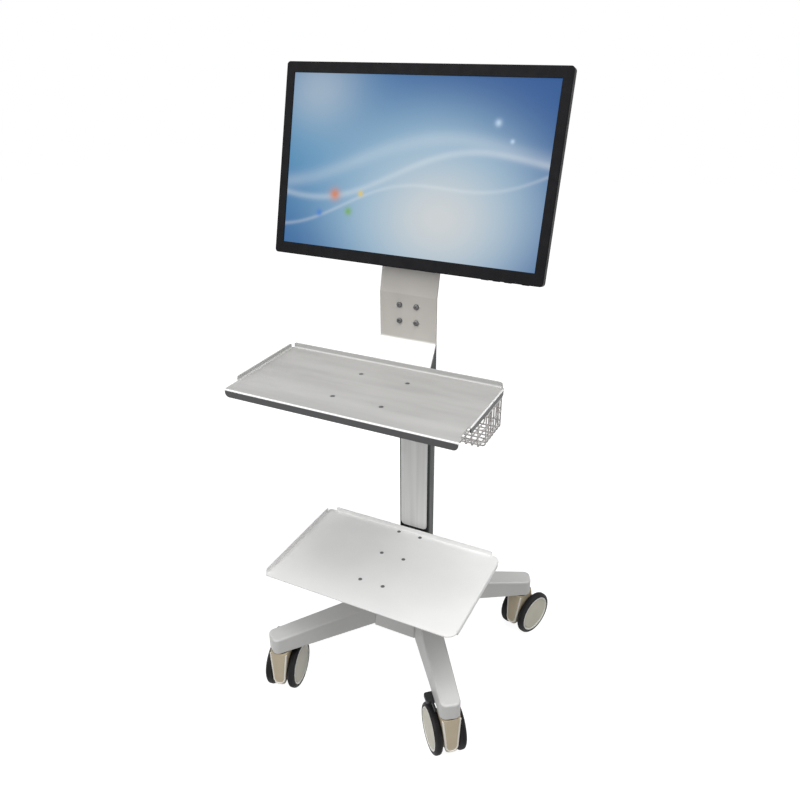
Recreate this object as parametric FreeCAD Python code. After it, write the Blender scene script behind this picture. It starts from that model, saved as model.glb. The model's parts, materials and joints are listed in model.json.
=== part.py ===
import FreeCAD, Part
import math
import os
from FreeCAD import Vector as V

# Ultrasound machine cart: a cast four-legged base on twin-wheel casters, one column, a lower tray,
# an upper tray on a folded steel bracket that leans back and carries a flat display, and a wire basket.
# Frame: +X to the right of a person facing the display, -Y towards that person, +Z up, millimetres.
# Everything is first built around the column's axis (x = 0, y = 0, floor at z = 0). At the end the whole
# cart is moved so that the origin is the middle of its footprint box, on the floor.

# ---------------------------------------------------------------- heights above the floor
BASE_TOP = 154.0
LOWER_TRAY_TOP = 315.4
UPPER_TRAY_TOP = 727.0
COLUMN_TOP = 740.0
POST_TOP = 850.0

# ---------------------------------------------------------------- cast base
FRONT_SWIVEL_X = 190.0
FRONT_SWIVEL_Y = -266.5
REAR_SWIVEL_X = 204.0
REAR_SWIVEL_Y = 122.0
FRONT_LEG_ROOT_Y = 5.0          # where the two front legs' centre lines meet
REAR_LEG_ROOT_Y = 24.0          # where the two rear legs' centre lines meet
LEG_OVERHANG = 21.0             # leg beyond the swivel axis
LEG_TOP_ROOT_WIDTH = 48.0
LEG_TOP_END_WIDTH = 40.0
LEG_BOTTOM_ROOT_WIDTH = 74.0
LEG_BOTTOM_END_WIDTH = 39.0
LEG_END_THICKNESS = 35.5
LEG_END_RADIUS = 13.0
LEG_POCKET_WIDTH = 20.0
LEG_POCKET_START = 135.0
LEG_POCKET_END_MARGIN = 34.0    # solid metal kept inward of the swivel axis
HUB_THICKNESS = 44.0
HUB_PLATE = 8.0                 # metal above the pockets
HUB_FRONT_Y = -117.5
HUB_FRONT_HALF = 46.5
HUB_SIDE_HALF = 80.0
HUB_SIDE_FRONT_Y = -60.0
HUB_SIDE_REAR_Y = 40.0
HUB_REAR_Y = 76.0
HUB_REAR_HALF = 46.0
HUB_DRAFT = 7.0                 # hub walls lean in by this from bottom to top
HUB_POCKET_HALF = 38.0
HUB_POCKET_FRONT = -92.0
HUB_POCKET_REAR = 56.0
CASTING_EDGE_RADIUS = 4.0
COVER_LIP = 6.0                 # ledge around the hub pocket that the bottom cover sits on
COVER_THICKNESS = 2.5
COVER_SCREW_INSET = 12.0
COVER_SCREW_RADIUS = 1.5
COVER_SCREW_LENGTH = 12.0
COVER_HEAD_RADIUS = 3.0
COVER_HEAD_HEIGHT = 1.6
BOSS_RADIUS = 17.0
BOSS_DROP = 0.3                 # flat caster seat below the leg's sloping underside

# ---------------------------------------------------------------- casters
WHEEL_RADIUS = 50.0
DISC_RADIUS = 41.6
WHEEL_THICKNESS = 16.0
TYRE_CROWN = 5.0                # height and width of the tyre's sloping shoulder
WHEEL_INNER_X = 16.2            # caster centre plane to a wheel's inner face
CASTER_TRAIL = 24.5
AXLE_RADIUS = 5.0
AXLE_COVER = 3.0                # closed outer face of the wheel over the axle end
AXLE_END_GAP = 0.5
STEM_RADIUS = 7.0
STEM_FLANGE_RADIUS = 15.0
STEM_FLANGE = 2.0
STEM_IN_LEG = 28.0
STEM_IN_HOUSING = 48.0
SWIVEL_GAP = 0.4                # between the stem's flange and the housing
HOUSING_TOP_WIDTH = 38.0
HOUSING_BOTTOM_WIDTH = 24.0
HOUSING_NOSE_TOP = 21.0         # nose in front of the swivel axis, at the top
HOUSING_NOSE_BOTTOM = 27.0
HOUSING_TOP_REAR = 23.0
HOUSING_TONGUE_DEPTH = 20.0     # depth of the nose at its lower end
HOUSING_BOTTOM_Z = 37.0
HOUSING_TOP_RADIUS = 9.0
HOUSING_BOTTOM_RADIUS = 6.0
HOUSING_WEB_GAP = 0.8           # each side, between the web and a wheel
HOUSING_HUB_RADIUS = 15.0
WHEEL_CLEARANCE = 2.0           # around the tyre, where the housing is wider than its web
FRONT_RIGHT_HEADING = 41.5      # degrees, turn of each caster at rest
FRONT_LEFT_HEADING = 11.8
REAR_RIGHT_HEADING = -21.2
REAR_LEFT_HEADING = -5.0
PEDAL_WIDTH = 66.0
PEDAL_PIVOT_Y = 17.0
PEDAL_PIVOT_DROP = 7.0          # pivot below the housing's top
PEDAL_PIN_RADIUS = 2.5
PEDAL_PAD_START = 34.0
PEDAL_PAD_END = 58.0
PEDAL_PAD_THICKNESS = 6.5
PEDAL_PAD_DROP = 2.0            # pad's top below the housing's top
PEDAL_ARM_THICKNESS = 4.0
PEDAL_ARM_GAP = 0.6
PEDAL_CORNER_RADIUS = 5.0

# ---------------------------------------------------------------- column
COLUMN_WIDTH = 68.0
COLUMN_DEPTH = 30.0
COLUMN_FRONT_Y = -20.5
COLUMN_CORNER_RADIUS = 5.0
COLUMN_WALL = 3.0
CHANNEL_WIDTH = 60.0            # shallow channel along the front face
CHANNEL_DEPTH = 2.0
SCREW_PORT_RADIUS = 5.0
SCREW_PORT_INSET = 7.0          # port centre in from the column's side face
PANEL_SIDE_GAP = 0.3
PANEL_BOTTOM = 322.0
PANEL_END_RADIUS = 9.0
CAP_THICKNESS = 3.0
CAP_PLUG_DEPTH = 12.0
CAP_PLUG_GAP = 0.5
CAP_TAB_REACH = 9.0             # each collar tab, outward from the post
CAP_TAB_HALF = 1.6

# ---------------------------------------------------------------- post that stands in the column
POST_WIDTH = 40.0
POST_BOTTOM = 600.0
POST_GAP = 0.3
POST_SCREWS_Z = (637.0, 659.0)
POST_SCREW_LENGTH = 18.0
BRACKET_SCREW_LENGTH = 22.0
SCREW_HOLE_SPARE = 4.0          # blind hole beyond a screw's tip

# ---------------------------------------------------------------- fasteners and fits
M6_RADIUS = 3.0
M6_HEAD_RADIUS = 5.2
M6_HEAD_HEIGHT = 3.4
M5_RADIUS = 2.5
M5_HEAD_RADIUS = 3.9
M5_HEAD_HEIGHT = 1.2
HEAD_SINK = 0.05                # a sunk screw head lies this far below the surface
TRAY_SCREW_SPARE = 3.0          # thread that shows below the bracket under a tray
M4_RADIUS = 2.0
M4_HEAD_RADIUS = 3.9
M4_HEAD_HEIGHT = 2.6
HOLE_CLEARANCE = 0.3            # radial, where a screw passes through
THREAD_CLEARANCE = 0.02         # radial, where a screw is threaded in
RUNNING_CLEARANCE = 0.05        # radial, where a part turns
NUT_PLATE_THICKNESS = 5.0
NUT_PLATE_HALF_WIDTH = 20.0
NUT_PLATE_MARGIN = 10.0
SCREW_PITCH_X = 33.6            # four-screw patterns on the column's front
SCREW_PITCH_Z = 30.3

# ---------------------------------------------------------------- trays
SHEET = 2.0
TRAY_BEND_RADIUS = 1.5
FLANGE_RELIEF = 1.0
FLANGE_ROOT = 1.0               # flat stretch of a flange that lies within the tray's sheet
UPPER_TRAY_WIDTH = 430.0
UPPER_TRAY_DEPTH = 210.0
UPPER_TRAY_CENTRE_X = -8.0
UPPER_TRAY_CENTRE_Y = -204.5
UPPER_SCREW_CENTRE_X = 4.0
UPPER_SCREW_PITCH_X = 91.5
UPPER_SCREW_PITCH_Y = 99.0
LOWER_TRAY_WIDTH = 401.4
LOWER_TRAY_DEPTH = 252.2
LOWER_TRAY_CENTRE_Y = -157.5
LOWER_SCREW_PITCH_X = 49.2
LOWER_SCREW_ROWS_Y = (-42.0, -122.0, -213.0)
UPPER_BACK_FLANGE = 10.0
UPPER_SIDE_FLANGE = 9.0
UPPER_FRONT_FLANGE = 13.0
UPPER_RIGHT_FLANGE = 10.0
LOWER_FLANGE = 9.5
LOWER_RIGHT_FLANGE = 8.0
CORNER_FREE = 6.0               # flanges stop this far from a corner
NOTCH_FREE = 54.0               # the upper tray's right flange stops this far from its front
SIDE_INSET = 4.0                # the upper tray's bare right edge lies this far in from its flange
SIDE_INSET_START = 16.0         # behind the tray's front
LEFT_FREE = 36.0                # the upper tray's left flange stops this far from its front
FRONT_RIGHT_RADIUS = 20.0
BACK_RIGHT_RADIUS = 18.0
SMALL_RADIUS = 5.0
FLANGE_TIP_RADIUS = 3.0
FRONT_TIP_RADIUS = 8.0

# ---------------------------------------------------------------- lower tray bracket
LOWER_BRACKET_WIDTH = 76.0
LOWER_BRACKET_FRONT_Y = -232.0
LOWER_BRACKET_DEPTH = 30.0
LOWER_BRACKET_FOOT_HEIGHT = 56.0
LOWER_BRACKET_FOOT_WIDTH = 56.0
BRACKET_SHEET = 3.0

# ---------------------------------------------------------------- folded display bracket
STRIP_WIDTH = 113.0
STRIP_BEND_RADIUS = 5.0
STRIP_FRONT_Y = -272.0
STRIP_FOOT_Y = -74.0            # first bend, behind the upper tray
PLATE_Y = -48.7                 # middle of the upright plate's sheet
PLATE_BOTTOM = 764.0
PLATE_TOP = 848.0
PLATE_SCREWS_Z = 812.4
DISPLAY_OFFSET_X = -3.5         # display centre to the left of the column
DISPLAY_TILT = 14.27            # degrees, leaning back
DISPLAY_ALONG_STRIP = 213.5     # from the tilt bend to the display's centre
STRIP_ABOVE_CENTRE = 66.0
BLOCK_WIDTH = 52.0
BLOCK_HEIGHT = 66.0

# ---------------------------------------------------------------- wire basket
BASKET_WIDTH = 264.0
BASKET_FRONT_Y = 25.0
BASKET_REAR_Y = 140.0
BASKET_BOTTOM = 520.0
BASKET_TOP = 622.0
WIRE = 3.5
RIM = 5.0
WIRE_PITCH = 13.5
BASKET_PLATE_WIDTH = 70.0
BASKET_PLATE_HEIGHT = 62.0
BASKET_PLATE_THICKNESS = 4.3
BASKET_RIB_WIDTH = 14.0
HOOK_WIDTH = 14.0
HOOK_SPACING = 54.0
HOOK_SHEET = 2.2
HOOK_DROP = 13.0
HOOK_GAP = 0.2
BASKET_SCREW_DROP = 34.0

# ---------------------------------------------------------------- display
DISPLAY_WIDTH = 513.1
DISPLAY_HEIGHT = 331.5
DISPLAY_DEPTH = 44.0
SCREEN_SIDE_BORDER = 16.4
SCREEN_END_BORDER = 19.4         # mean of the borders above and below the screen
SCREEN_WIDTH = DISPLAY_WIDTH - 2 * SCREEN_SIDE_BORDER
SCREEN_HEIGHT = DISPLAY_HEIGHT - 2 * SCREEN_END_BORDER
SCREEN_RAISE = 1.15             # screen's centre above the display's centre
BEZEL_DEPTH = 14.0
BEZEL_WALL = 2.5
BEZEL_CORNER_RADIUS = 6.0
BEZEL_EDGE_RADIUS = 1.5
PANEL_OVERLAP = 5.0             # screen glass behind the bezel, each side
GLASS = 3.0
CHASSIS_SHEET = 1.0
CHASSIS_MARGIN = 2.0
CHASSIS_BACK = 13.0
SHOULDER_DEPTH = 10.0           # sloping rim of the rear cover
SHOULDER_INSET = 10.0
HOUSING_BASE_WIDTH = 330.0
HOUSING_FACE_WIDTH = 300.0
HOUSING_BASE_TOP = 115.0
HOUSING_FACE_TOP = 100.0
HOUSING_FOOT = -108.0
HOUSING_CORNER = 10.0
VESA_PITCH = 100.0
VESA_BOSS_RADIUS = 5.5
VESA_BOSS_LENGTH = 12.0
VENT_COUNT = 17
VENT_PITCH = 9.0
VENT_WIDTH = 3.5
VENT_HEIGHT = 26.0
VENT_RAISE = 72.0
MAIN_BOARD = (10.0, 130.0, -60.0, 70.0)          # left, right, bottom and top from the display's centre
MAIN_BOARD_PARTS = [(20, 60, 10, 50, 6), (80, 110, -40, -10, 8)]      # the same, and height
POWER_BOARD = (-130.0, -20.0, -60.0, 60.0)
POWER_BOARD_PARTS = [(-110, -80, -20, 30, 12), (-60, -40, 0, 40, 12)]
BOARD_THICKNESS = 1.6
BOARD_STANDOFF = 6.0
STANDOFF_RADIUS = 3.0
INLET_WIDTH = 28.0
INLET_DEPTH = 14.0
INLET_HEIGHT = 24.0
INLET_X = 100.0
INLET_FLANGE = 3.0
INLET_CAVITY = 17.0
SOCKET_WIDTH = 26.0
SOCKET_DEPTH = 10.0
SOCKET_HEIGHT = 14.0
SOCKET_X = -100.0
SOCKET_FACE_WIDTH = 17.0
SOCKET_FACE_DEPTH = 8.0
SOCKET_STICK_OUT = 5.0
KEY_WIDTH = 12.0
KEY_DEPTH = 5.0
KEY_STICK_OUT = 1.0
KEY_GAP = 0.3
KEY_TRAVEL = 0.8
KEY_FLANGE = 2.0
KEY_FLANGE_THICKNESS = 1.2
KEY_Y = 6.0
POWER_KEY_FROM_EDGE = 30.5      # power key's middle in from the display's right side
MENU_KEY_PITCH = 20.0
MENU_KEY_COUNT = 3

# ---------------------------------------------------------------- sizes that follow
COLUMN_REAR_Y = COLUMN_FRONT_Y + COLUMN_DEPTH
CHANNEL_FLOOR_Y = COLUMN_FRONT_Y + CHANNEL_DEPTH
INSIDE_FRONT_Y = CHANNEL_FLOOR_Y + COLUMN_WALL
POST_FRONT_Y = INSIDE_FRONT_Y + POST_GAP
POST_REAR_Y = COLUMN_REAR_Y - COLUMN_WALL
HUB_BOTTOM = BASE_TOP - HUB_THICKNESS
LEG_END_BOTTOM = BASE_TOP - LEG_END_THICKNESS
SHORT_LEG = math.hypot(REAR_SWIVEL_X, REAR_SWIVEL_Y - REAR_LEG_ROOT_Y) + LEG_OVERHANG
UNDERSIDE_SLOPE = (HUB_THICKNESS - LEG_END_THICKNESS) / SHORT_LEG
SEAT_FALL = UNDERSIDE_SLOPE * (LEG_OVERHANG + STEM_FLANGE_RADIUS)
SEAT_Z = LEG_END_BOTTOM - SEAT_FALL - BOSS_DROP      # flat seat of each caster stem
HOUSING_TOP_Z = SEAT_Z - STEM_FLANGE - SWIVEL_GAP
WHEEL_OUTER_X = WHEEL_INNER_X + WHEEL_THICKNESS
PEDAL_PIVOT_Z = HOUSING_TOP_Z - PEDAL_PIVOT_DROP
TILT = math.radians(DISPLAY_TILT)
TRAY_UNDERSIDE = UPPER_TRAY_TOP - SHEET
BLOCK_BOTTOM = PLATE_SCREWS_Z - BLOCK_HEIGHT / 2
BRACKET_TOP = LOWER_TRAY_TOP - SHEET
FOOT_SCREWS_Z = BRACKET_TOP - LOWER_BRACKET_FOOT_HEIGHT / 2

CASTERS = {
    "front_right": (FRONT_SWIVEL_X, FRONT_SWIVEL_Y, FRONT_RIGHT_HEADING),
    "front_left": (-FRONT_SWIVEL_X, FRONT_SWIVEL_Y, FRONT_LEFT_HEADING),
    "rear_right": (REAR_SWIVEL_X, REAR_SWIVEL_Y, REAR_RIGHT_HEADING),
    "rear_left": (-REAR_SWIVEL_X, REAR_SWIVEL_Y, REAR_LEFT_HEADING),
}
BRAKED = ("front_right", "front_left")

nodes = {}


# ---------------------------------------------------------------- small helpers
def box(x0, x1, y0, y1, z0, z1):
    return Part.makeBox(x1 - x0, y1 - y0, z1 - z0, V(x0, y0, z0))


def rod(radius, start, end):
    """Round bar from one point to another."""
    axis = end.sub(start)
    return Part.makeCylinder(radius, axis.Length, start, axis)


def fuse(shapes):
    whole = shapes[0]
    if len(shapes) > 1:
        whole = whole.multiFuse(shapes[1:])
    return whole.removeSplitter()


def cut(shape, tools):
    return shape.cut(Part.makeCompound(tools))


def upright_edges(shape):
    """Edges that run straight up."""
    found = []
    for edge in shape.Edges:
        bounds = edge.BoundBox
        if bounds.XLength < 0.01 and bounds.YLength < 0.01:
            found.append(edge)
    return found


def rounded_box(x0, x1, y0, y1, z0, z1, radius):
    """Box with its four upright edges rounded."""
    plain = box(x0, x1, y0, y1, z0, z1)
    return plain.makeFillet(radius, upright_edges(plain))


def rounded_outline(x0, x1, y0, y1, z, radius):
    """Level rectangle with round corners, as a wire."""
    slab = rounded_box(x0, x1, y0, y1, z, z + 1.0, radius)
    floor = [face for face in slab.Faces if face.BoundBox.ZMax < z + 0.01]
    return floor[0].OuterWire


def level_polygon(points, z):
    corners = [V(x, y, z) for x, y in points]
    return Part.makePolygon(corners + corners[:1])


def upright_prism(points, z0, z1):
    return Part.Face(level_polygon(points, z0)).extrude(V(0, 0, z1 - z0))


def turned(vector, degrees):
    """A level vector turned about +Z."""
    angle = math.radians(degrees)
    x = vector.x * math.cos(angle) - vector.y * math.sin(angle)
    y = vector.x * math.sin(angle) + vector.y * math.cos(angle)
    return V(x, y, vector.z)


def bent_face(path, thickness, inner_radius, place):
    """Section of a sheet whose middle follows path, with round bends.

    place(u, v) gives the point in space of section coordinates u, v.
    """
    points = [V(u, v, 0) for u, v in path]
    runs = [(b.sub(a)).normalize() for a, b in zip(points, points[1:])]
    normals = [V(-run.y, run.x, 0) for run in runs]
    middle_radius = inner_radius + thickness / 2
    edges = []
    ends = {}
    for side in (thickness / 2, -thickness / 2):
        last = points[0] + normals[0] * side
        ends[side] = [last]
        for index in range(1, len(runs)):
            before = runs[index - 1]
            after = runs[index]
            turn = math.atan2(before.cross(after).z, before.dot(after))
            setback = middle_radius * math.tan(abs(turn) / 2)
            leaning = math.copysign(1.0, turn)
            corner = points[index]
            centre = corner - before * setback + normals[index - 1] * (middle_radius * leaning)
            radius = middle_radius - leaning * side
            arc_start = corner - before * setback + normals[index - 1] * side
            arc_end = corner + after * setback + normals[index] * side
            arc_middle = centre + (corner - centre).normalize() * radius
            edges.append(Part.makeLine(place(last.x, last.y), place(arc_start.x, arc_start.y)))
            arc_points = [place(p.x, p.y) for p in (arc_start, arc_middle, arc_end)]
            edges.append(Part.Arc(*arc_points).toShape())
            last = arc_end
        finish = points[-1] + normals[-1] * side
        edges.append(Part.makeLine(place(last.x, last.y), place(finish.x, finish.y)))
        ends[side].append(finish)
    for start, end in zip(*ends.values()):
        edges.append(Part.makeLine(place(start.x, start.y), place(end.x, end.y)))
    return Part.Face(Part.Wire(Part.__sortEdges__(edges)))


def screw(head_centre, direction, head_radius, head_height, radius, length):
    """Pan-head screw: its head stands on head_centre, its shank runs along direction."""
    top = head_centre - direction * head_height
    head = Part.makeCylinder(head_radius, head_height, top, direction)
    rim = [edge for edge in head.Edges if edge.BoundBox.Center.distanceToPoint(top) < 0.01]
    head = head.makeFillet(head_height * 0.45, rim)
    shank = Part.makeCylinder(radius, length, head_centre, direction)
    recess = Part.makeCylinder(head_radius * 0.35, head_height * 0.5, top, direction)
    return fuse([head, shank]).cut(recess)


def grid(centre_a, pitch_a, centre_b, pitch_b):
    """Four places of a rectangular pattern."""
    places = []
    for a in (-pitch_a / 2, pitch_a / 2):
        for b in (-pitch_b / 2, pitch_b / 2):
            places.append((centre_a + a, centre_b + b))
    return places


# ---------------------------------------------------------------- base
def leg_axis(x, y):
    """Root point, unit direction and length to the swivel of the leg whose swivel is at x, y."""
    root = V(0, FRONT_LEG_ROOT_Y if y < 0 else REAR_LEG_ROOT_Y, 0)
    along = V(x, y, 0) - root
    return root, V(along).normalize(), along.Length


def leg_section(place, across, top_width, bottom_width, bottom):
    """Trapezoid across a leg, as a closed wire."""
    top = place + V(0, 0, BASE_TOP)
    low = place + V(0, 0, bottom)
    corners = [
        top - across * (top_width / 2),
        top + across * (top_width / 2),
        low + across * (bottom_width / 2),
        low - across * (bottom_width / 2),
    ]
    return Part.makePolygon(corners + corners[:1])


def leg_body(x, y):
    root, along, reach = leg_axis(x, y)
    across = V(-along.y, along.x, 0)
    tip = root + along * (reach + LEG_OVERHANG)
    inner = leg_section(root, across, LEG_TOP_ROOT_WIDTH, LEG_BOTTOM_ROOT_WIDTH, HUB_BOTTOM)
    outer = leg_section(tip, across, LEG_TOP_END_WIDTH, LEG_BOTTOM_END_WIDTH, LEG_END_BOTTOM)
    body = Part.makeLoft([inner, outer], True, True)
    tip_corners = []
    for edge in body.Edges:
        middle = edge.BoundBox.Center
        at_tip = (V(middle.x, middle.y, 0) - tip).dot(along) > -0.01
        if at_tip and edge.BoundBox.ZLength > LEG_END_THICKNESS / 2:
            tip_corners.append(edge)
    body = body.makeFillet(LEG_END_RADIUS, tip_corners)
    rim = []
    for edge in body.Edges:
        middle = edge.BoundBox.Center
        outside = (V(middle.x, middle.y, 0) - root).dot(along) > 0.01
        if outside and edge.BoundBox.ZMin > BASE_TOP - 0.01:
            rim.append(edge)
    body = body.makeFillet(CASTING_EDGE_RADIUS, rim)
    boss = rod(BOSS_RADIUS, V(x, y, SEAT_Z), V(x, y, LEG_END_BOTTOM + SEAT_FALL))
    return fuse([body, boss])


def leg_pocket(x, y):
    """Space under a leg, open below."""
    root, along, reach = leg_axis(x, y)
    across = V(-along.y, along.x, 0)
    half = across * (LEG_POCKET_WIDTH / 2)
    start = root + along * LEG_POCKET_START
    end = root + along * (reach - LEG_POCKET_END_MARGIN)
    outline = [start - half, start + half, end + half, end - half]
    corners = [(p.x, p.y) for p in outline]
    return upright_prism(corners, HUB_BOTTOM - 1.0, BASE_TOP - HUB_PLATE)


def hub_outline(inset):
    """Corners of the hub's plan, moved in by inset."""
    front = HUB_FRONT_Y + inset
    rear = HUB_REAR_Y - inset
    side = HUB_SIDE_HALF - inset
    right = [
        (HUB_FRONT_HALF - inset / 2, front),
        (side, HUB_SIDE_FRONT_Y + inset / 2),
        (side, HUB_SIDE_REAR_Y - inset / 2),
        (HUB_REAR_HALF - inset / 2, rear),
    ]
    left = [(-x, y) for x, y in reversed(right)]
    return right + left


def cover_rectangle(gap):
    return (
        -HUB_POCKET_HALF - COVER_LIP + gap,
        HUB_POCKET_HALF + COVER_LIP - gap,
        HUB_POCKET_FRONT - COVER_LIP + gap,
        HUB_POCKET_REAR + COVER_LIP - gap,
    )


def cover_screw_places():
    """Screws go into four corner pillars of the hub pocket."""
    half = HUB_POCKET_HALF - COVER_SCREW_INSET / 2
    front = HUB_POCKET_FRONT + COVER_SCREW_INSET / 2
    rear = HUB_POCKET_REAR - COVER_SCREW_INSET / 2
    return [(x, y) for x in (-half, half) for y in (front, rear)]


def port_places():
    """Screw ports in the column's four inner corners."""
    x = COLUMN_WIDTH / 2 - SCREW_PORT_INSET
    front = CHANNEL_FLOOR_Y + SCREW_PORT_INSET
    rear = COLUMN_REAR_Y - SCREW_PORT_INSET
    return [(-x, front), (x, front), (-x, rear), (x, rear)]


def build_base():
    low = level_polygon(hub_outline(0.0), HUB_BOTTOM)
    high = level_polygon(hub_outline(HUB_DRAFT), BASE_TOP)
    hub = Part.makeLoft([low, high], True, True)
    rim = [edge for edge in hub.Edges if edge.BoundBox.ZMin > BASE_TOP - 0.01]
    hub = hub.makeFillet(CASTING_EDGE_RADIUS, rim)
    legs = [leg_body(x, y) for x, y, heading in CASTERS.values()]
    casting = fuse([hub] + legs)

    pocket_top = BASE_TOP - HUB_PLATE
    half = HUB_POCKET_HALF
    pocket = box(-half, half, HUB_POCKET_FRONT, HUB_POCKET_REAR, HUB_BOTTOM - 1, pocket_top)
    pillars = []
    for x, y in cover_screw_places():
        half = COVER_SCREW_INSET / 2
        pillars.append(box(x - half, x + half, y - half, y + half, HUB_BOTTOM - 1, pocket_top))
    pocket = cut(pocket, pillars)
    tools = [pocket]
    tools.append(box(*cover_rectangle(0.0), HUB_BOTTOM - 1, HUB_BOTTOM + COVER_THICKNESS))
    for x, y in cover_screw_places():
        hole_end = HUB_BOTTOM + COVER_SCREW_LENGTH + 1
        tools.append(rod(COVER_SCREW_RADIUS + THREAD_CLEARANCE, V(x, y, HUB_BOTTOM), V(x, y, hole_end)))
    for x, y in port_places():
        tools.append(rod(M6_RADIUS + HOLE_CLEARANCE, V(x, y, pocket_top - 1), V(x, y, BASE_TOP + 1)))
    for x, y, heading in CASTERS.values():
        tools.append(leg_pocket(x, y))
        bore_end = V(x, y, SEAT_Z + STEM_IN_LEG + 1)
        tools.append(rod(STEM_RADIUS + THREAD_CLEARANCE, V(x, y, SEAT_Z - 1), bore_end))
    nodes["base_casting"] = cut(casting, tools)

    fit = PANEL_SIDE_GAP
    cover = box(*cover_rectangle(fit), HUB_BOTTOM, HUB_BOTTOM + COVER_THICKNESS)
    holes = []
    screws = []
    for x, y in cover_screw_places():
        holes.append(rod(COVER_SCREW_RADIUS + HOLE_CLEARANCE, V(x, y, HUB_BOTTOM - 1), V(x, y, BASE_TOP)))
        head = V(x, y, HUB_BOTTOM)
        up = V(0, 0, 1)
        screws.append(
            screw(head, up, COVER_HEAD_RADIUS, COVER_HEAD_HEIGHT, COVER_SCREW_RADIUS, COVER_SCREW_LENGTH)
        )
    nodes["base_bottom_cover"] = cut(cover, holes)
    nodes["base_cover_screws"] = Part.makeCompound(screws)

    bolts = []
    for x, y in port_places():
        head = V(x, y, pocket_top)
        bolts.append(screw(head, V(0, 0, 1), M6_HEAD_RADIUS, M6_HEAD_HEIGHT, M6_RADIUS, HUB_PLATE + 22))
    nodes["column_bolts"] = Part.makeCompound(bolts)

    stems = []
    for x, y, heading in CASTERS.values():
        pin = rod(STEM_RADIUS, V(x, y, HOUSING_TOP_Z - STEM_IN_HOUSING), V(x, y, SEAT_Z + STEM_IN_LEG))
        flange = rod(STEM_FLANGE_RADIUS, V(x, y, SEAT_Z - STEM_FLANGE), V(x, y, SEAT_Z))
        stems.append(fuse([pin, flange]))
    nodes["caster_stems"] = Part.makeCompound(stems)


# ---------------------------------------------------------------- casters
# Built with the swivel axis at x = 0, y = 0, the nose towards -Y and the wheels behind it.
def caster_housing(braked):
    rear = HOUSING_TOP_REAR
    top = rounded_outline(
        -HOUSING_TOP_WIDTH / 2, HOUSING_TOP_WIDTH / 2,
        -HOUSING_NOSE_TOP, rear, HOUSING_TOP_Z, HOUSING_TOP_RADIUS
    )
    tongue_rear = HOUSING_TONGUE_DEPTH - HOUSING_NOSE_BOTTOM
    half = HOUSING_BOTTOM_WIDTH / 2
    bottom = rounded_outline(
        -half, half, -HOUSING_NOSE_BOTTOM, tongue_rear, HOUSING_BOTTOM_Z, HOUSING_BOTTOM_RADIUS
    )
    nose = Part.makeLoft([bottom, top], True, True)
    web_half = WHEEL_INNER_X - HOUSING_WEB_GAP
    web_points = [
        (-HOUSING_NOSE_TOP / 2, HOUSING_TOP_Z - HOUSING_TOP_RADIUS),
        (rear, HOUSING_TOP_Z - HOUSING_TOP_RADIUS),
        (CASTER_TRAIL + HOUSING_HUB_RADIUS, WHEEL_RADIUS + HOUSING_HUB_RADIUS),
        (CASTER_TRAIL + HOUSING_HUB_RADIUS, WHEEL_RADIUS),
        (CASTER_TRAIL, WHEEL_RADIUS - HOUSING_HUB_RADIUS),
        (tongue_rear - HOUSING_BOTTOM_RADIUS, HOUSING_BOTTOM_Z),
    ]
    outline = [V(-web_half, y, z) for y, z in web_points]
    web = Part.Face(Part.makePolygon(outline + outline[:1])).extrude(V(2 * web_half, 0, 0))
    tools = []
    for side in (-1, 1):
        inner = V(side * web_half, CASTER_TRAIL, WHEEL_RADIUS)
        outer = V(side * HOUSING_TOP_WIDTH, CASTER_TRAIL, WHEEL_RADIUS)
        tools.append(rod(WHEEL_RADIUS + WHEEL_CLEARANCE, inner, outer))
    axle_hole = AXLE_RADIUS + THREAD_CLEARANCE
    axle_start = V(-WHEEL_RADIUS, CASTER_TRAIL, WHEEL_RADIUS)
    axle_end = V(WHEEL_RADIUS, CASTER_TRAIL, WHEEL_RADIUS)
    tools.append(rod(axle_hole, axle_start, axle_end))
    bore_bottom = HOUSING_TOP_Z - STEM_IN_HOUSING - 1.0
    tools.append(rod(STEM_RADIUS + RUNNING_CLEARANCE, V(0, 0, bore_bottom), V(0, 0, HOUSING_TOP_Z + 1)))
    if braked:
        pin_hole = PEDAL_PIN_RADIUS + RUNNING_CLEARANCE
        reach = HOUSING_TOP_WIDTH
        pin_start = V(-reach, PEDAL_PIVOT_Y, PEDAL_PIVOT_Z)
        pin_end = V(reach, PEDAL_PIVOT_Y, PEDAL_PIVOT_Z)
        tools.append(rod(pin_hole, pin_start, pin_end))
    return cut(fuse([nose, web]), tools)


def caster_axle():
    half = WHEEL_OUTER_X - AXLE_COVER - AXLE_END_GAP
    return rod(AXLE_RADIUS, V(-half, CASTER_TRAIL, WHEEL_RADIUS), V(half, CASTER_TRAIL, WHEEL_RADIUS))


def spun(profile, side):
    """Turn a closed outline of (x, radius) points about the wheel's axle, mirrored for side -1."""
    points = [V(side * x, CASTER_TRAIL, WHEEL_RADIUS + radius) for x, radius in profile]
    face = Part.Face(Part.makePolygon(points + points[:1]))
    return face.revolve(V(0, CASTER_TRAIL, WHEEL_RADIUS), V(1, 0, 0), 360)


def wheel_disc(side):
    """Wheel core: a closed outer face with a shallow dish, and a blind bore for the axle."""
    bore = AXLE_RADIUS + RUNNING_CLEARANCE
    inner = WHEEL_INNER_X
    outer = WHEEL_OUTER_X
    dish = 1.5
    profile = [
        (inner, bore),
        (inner, DISC_RADIUS),
        (outer - dish, DISC_RADIUS),
        (outer, DISC_RADIUS - 2 * dish),
        (outer - dish, DISC_RADIUS - 6 * dish),
        (outer - dish, AXLE_RADIUS + dish),
        (outer - dish, 0.0),
        (outer - AXLE_COVER, 0.0),
        (outer - AXLE_COVER, bore),
    ]
    return spun(profile, side)


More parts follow.
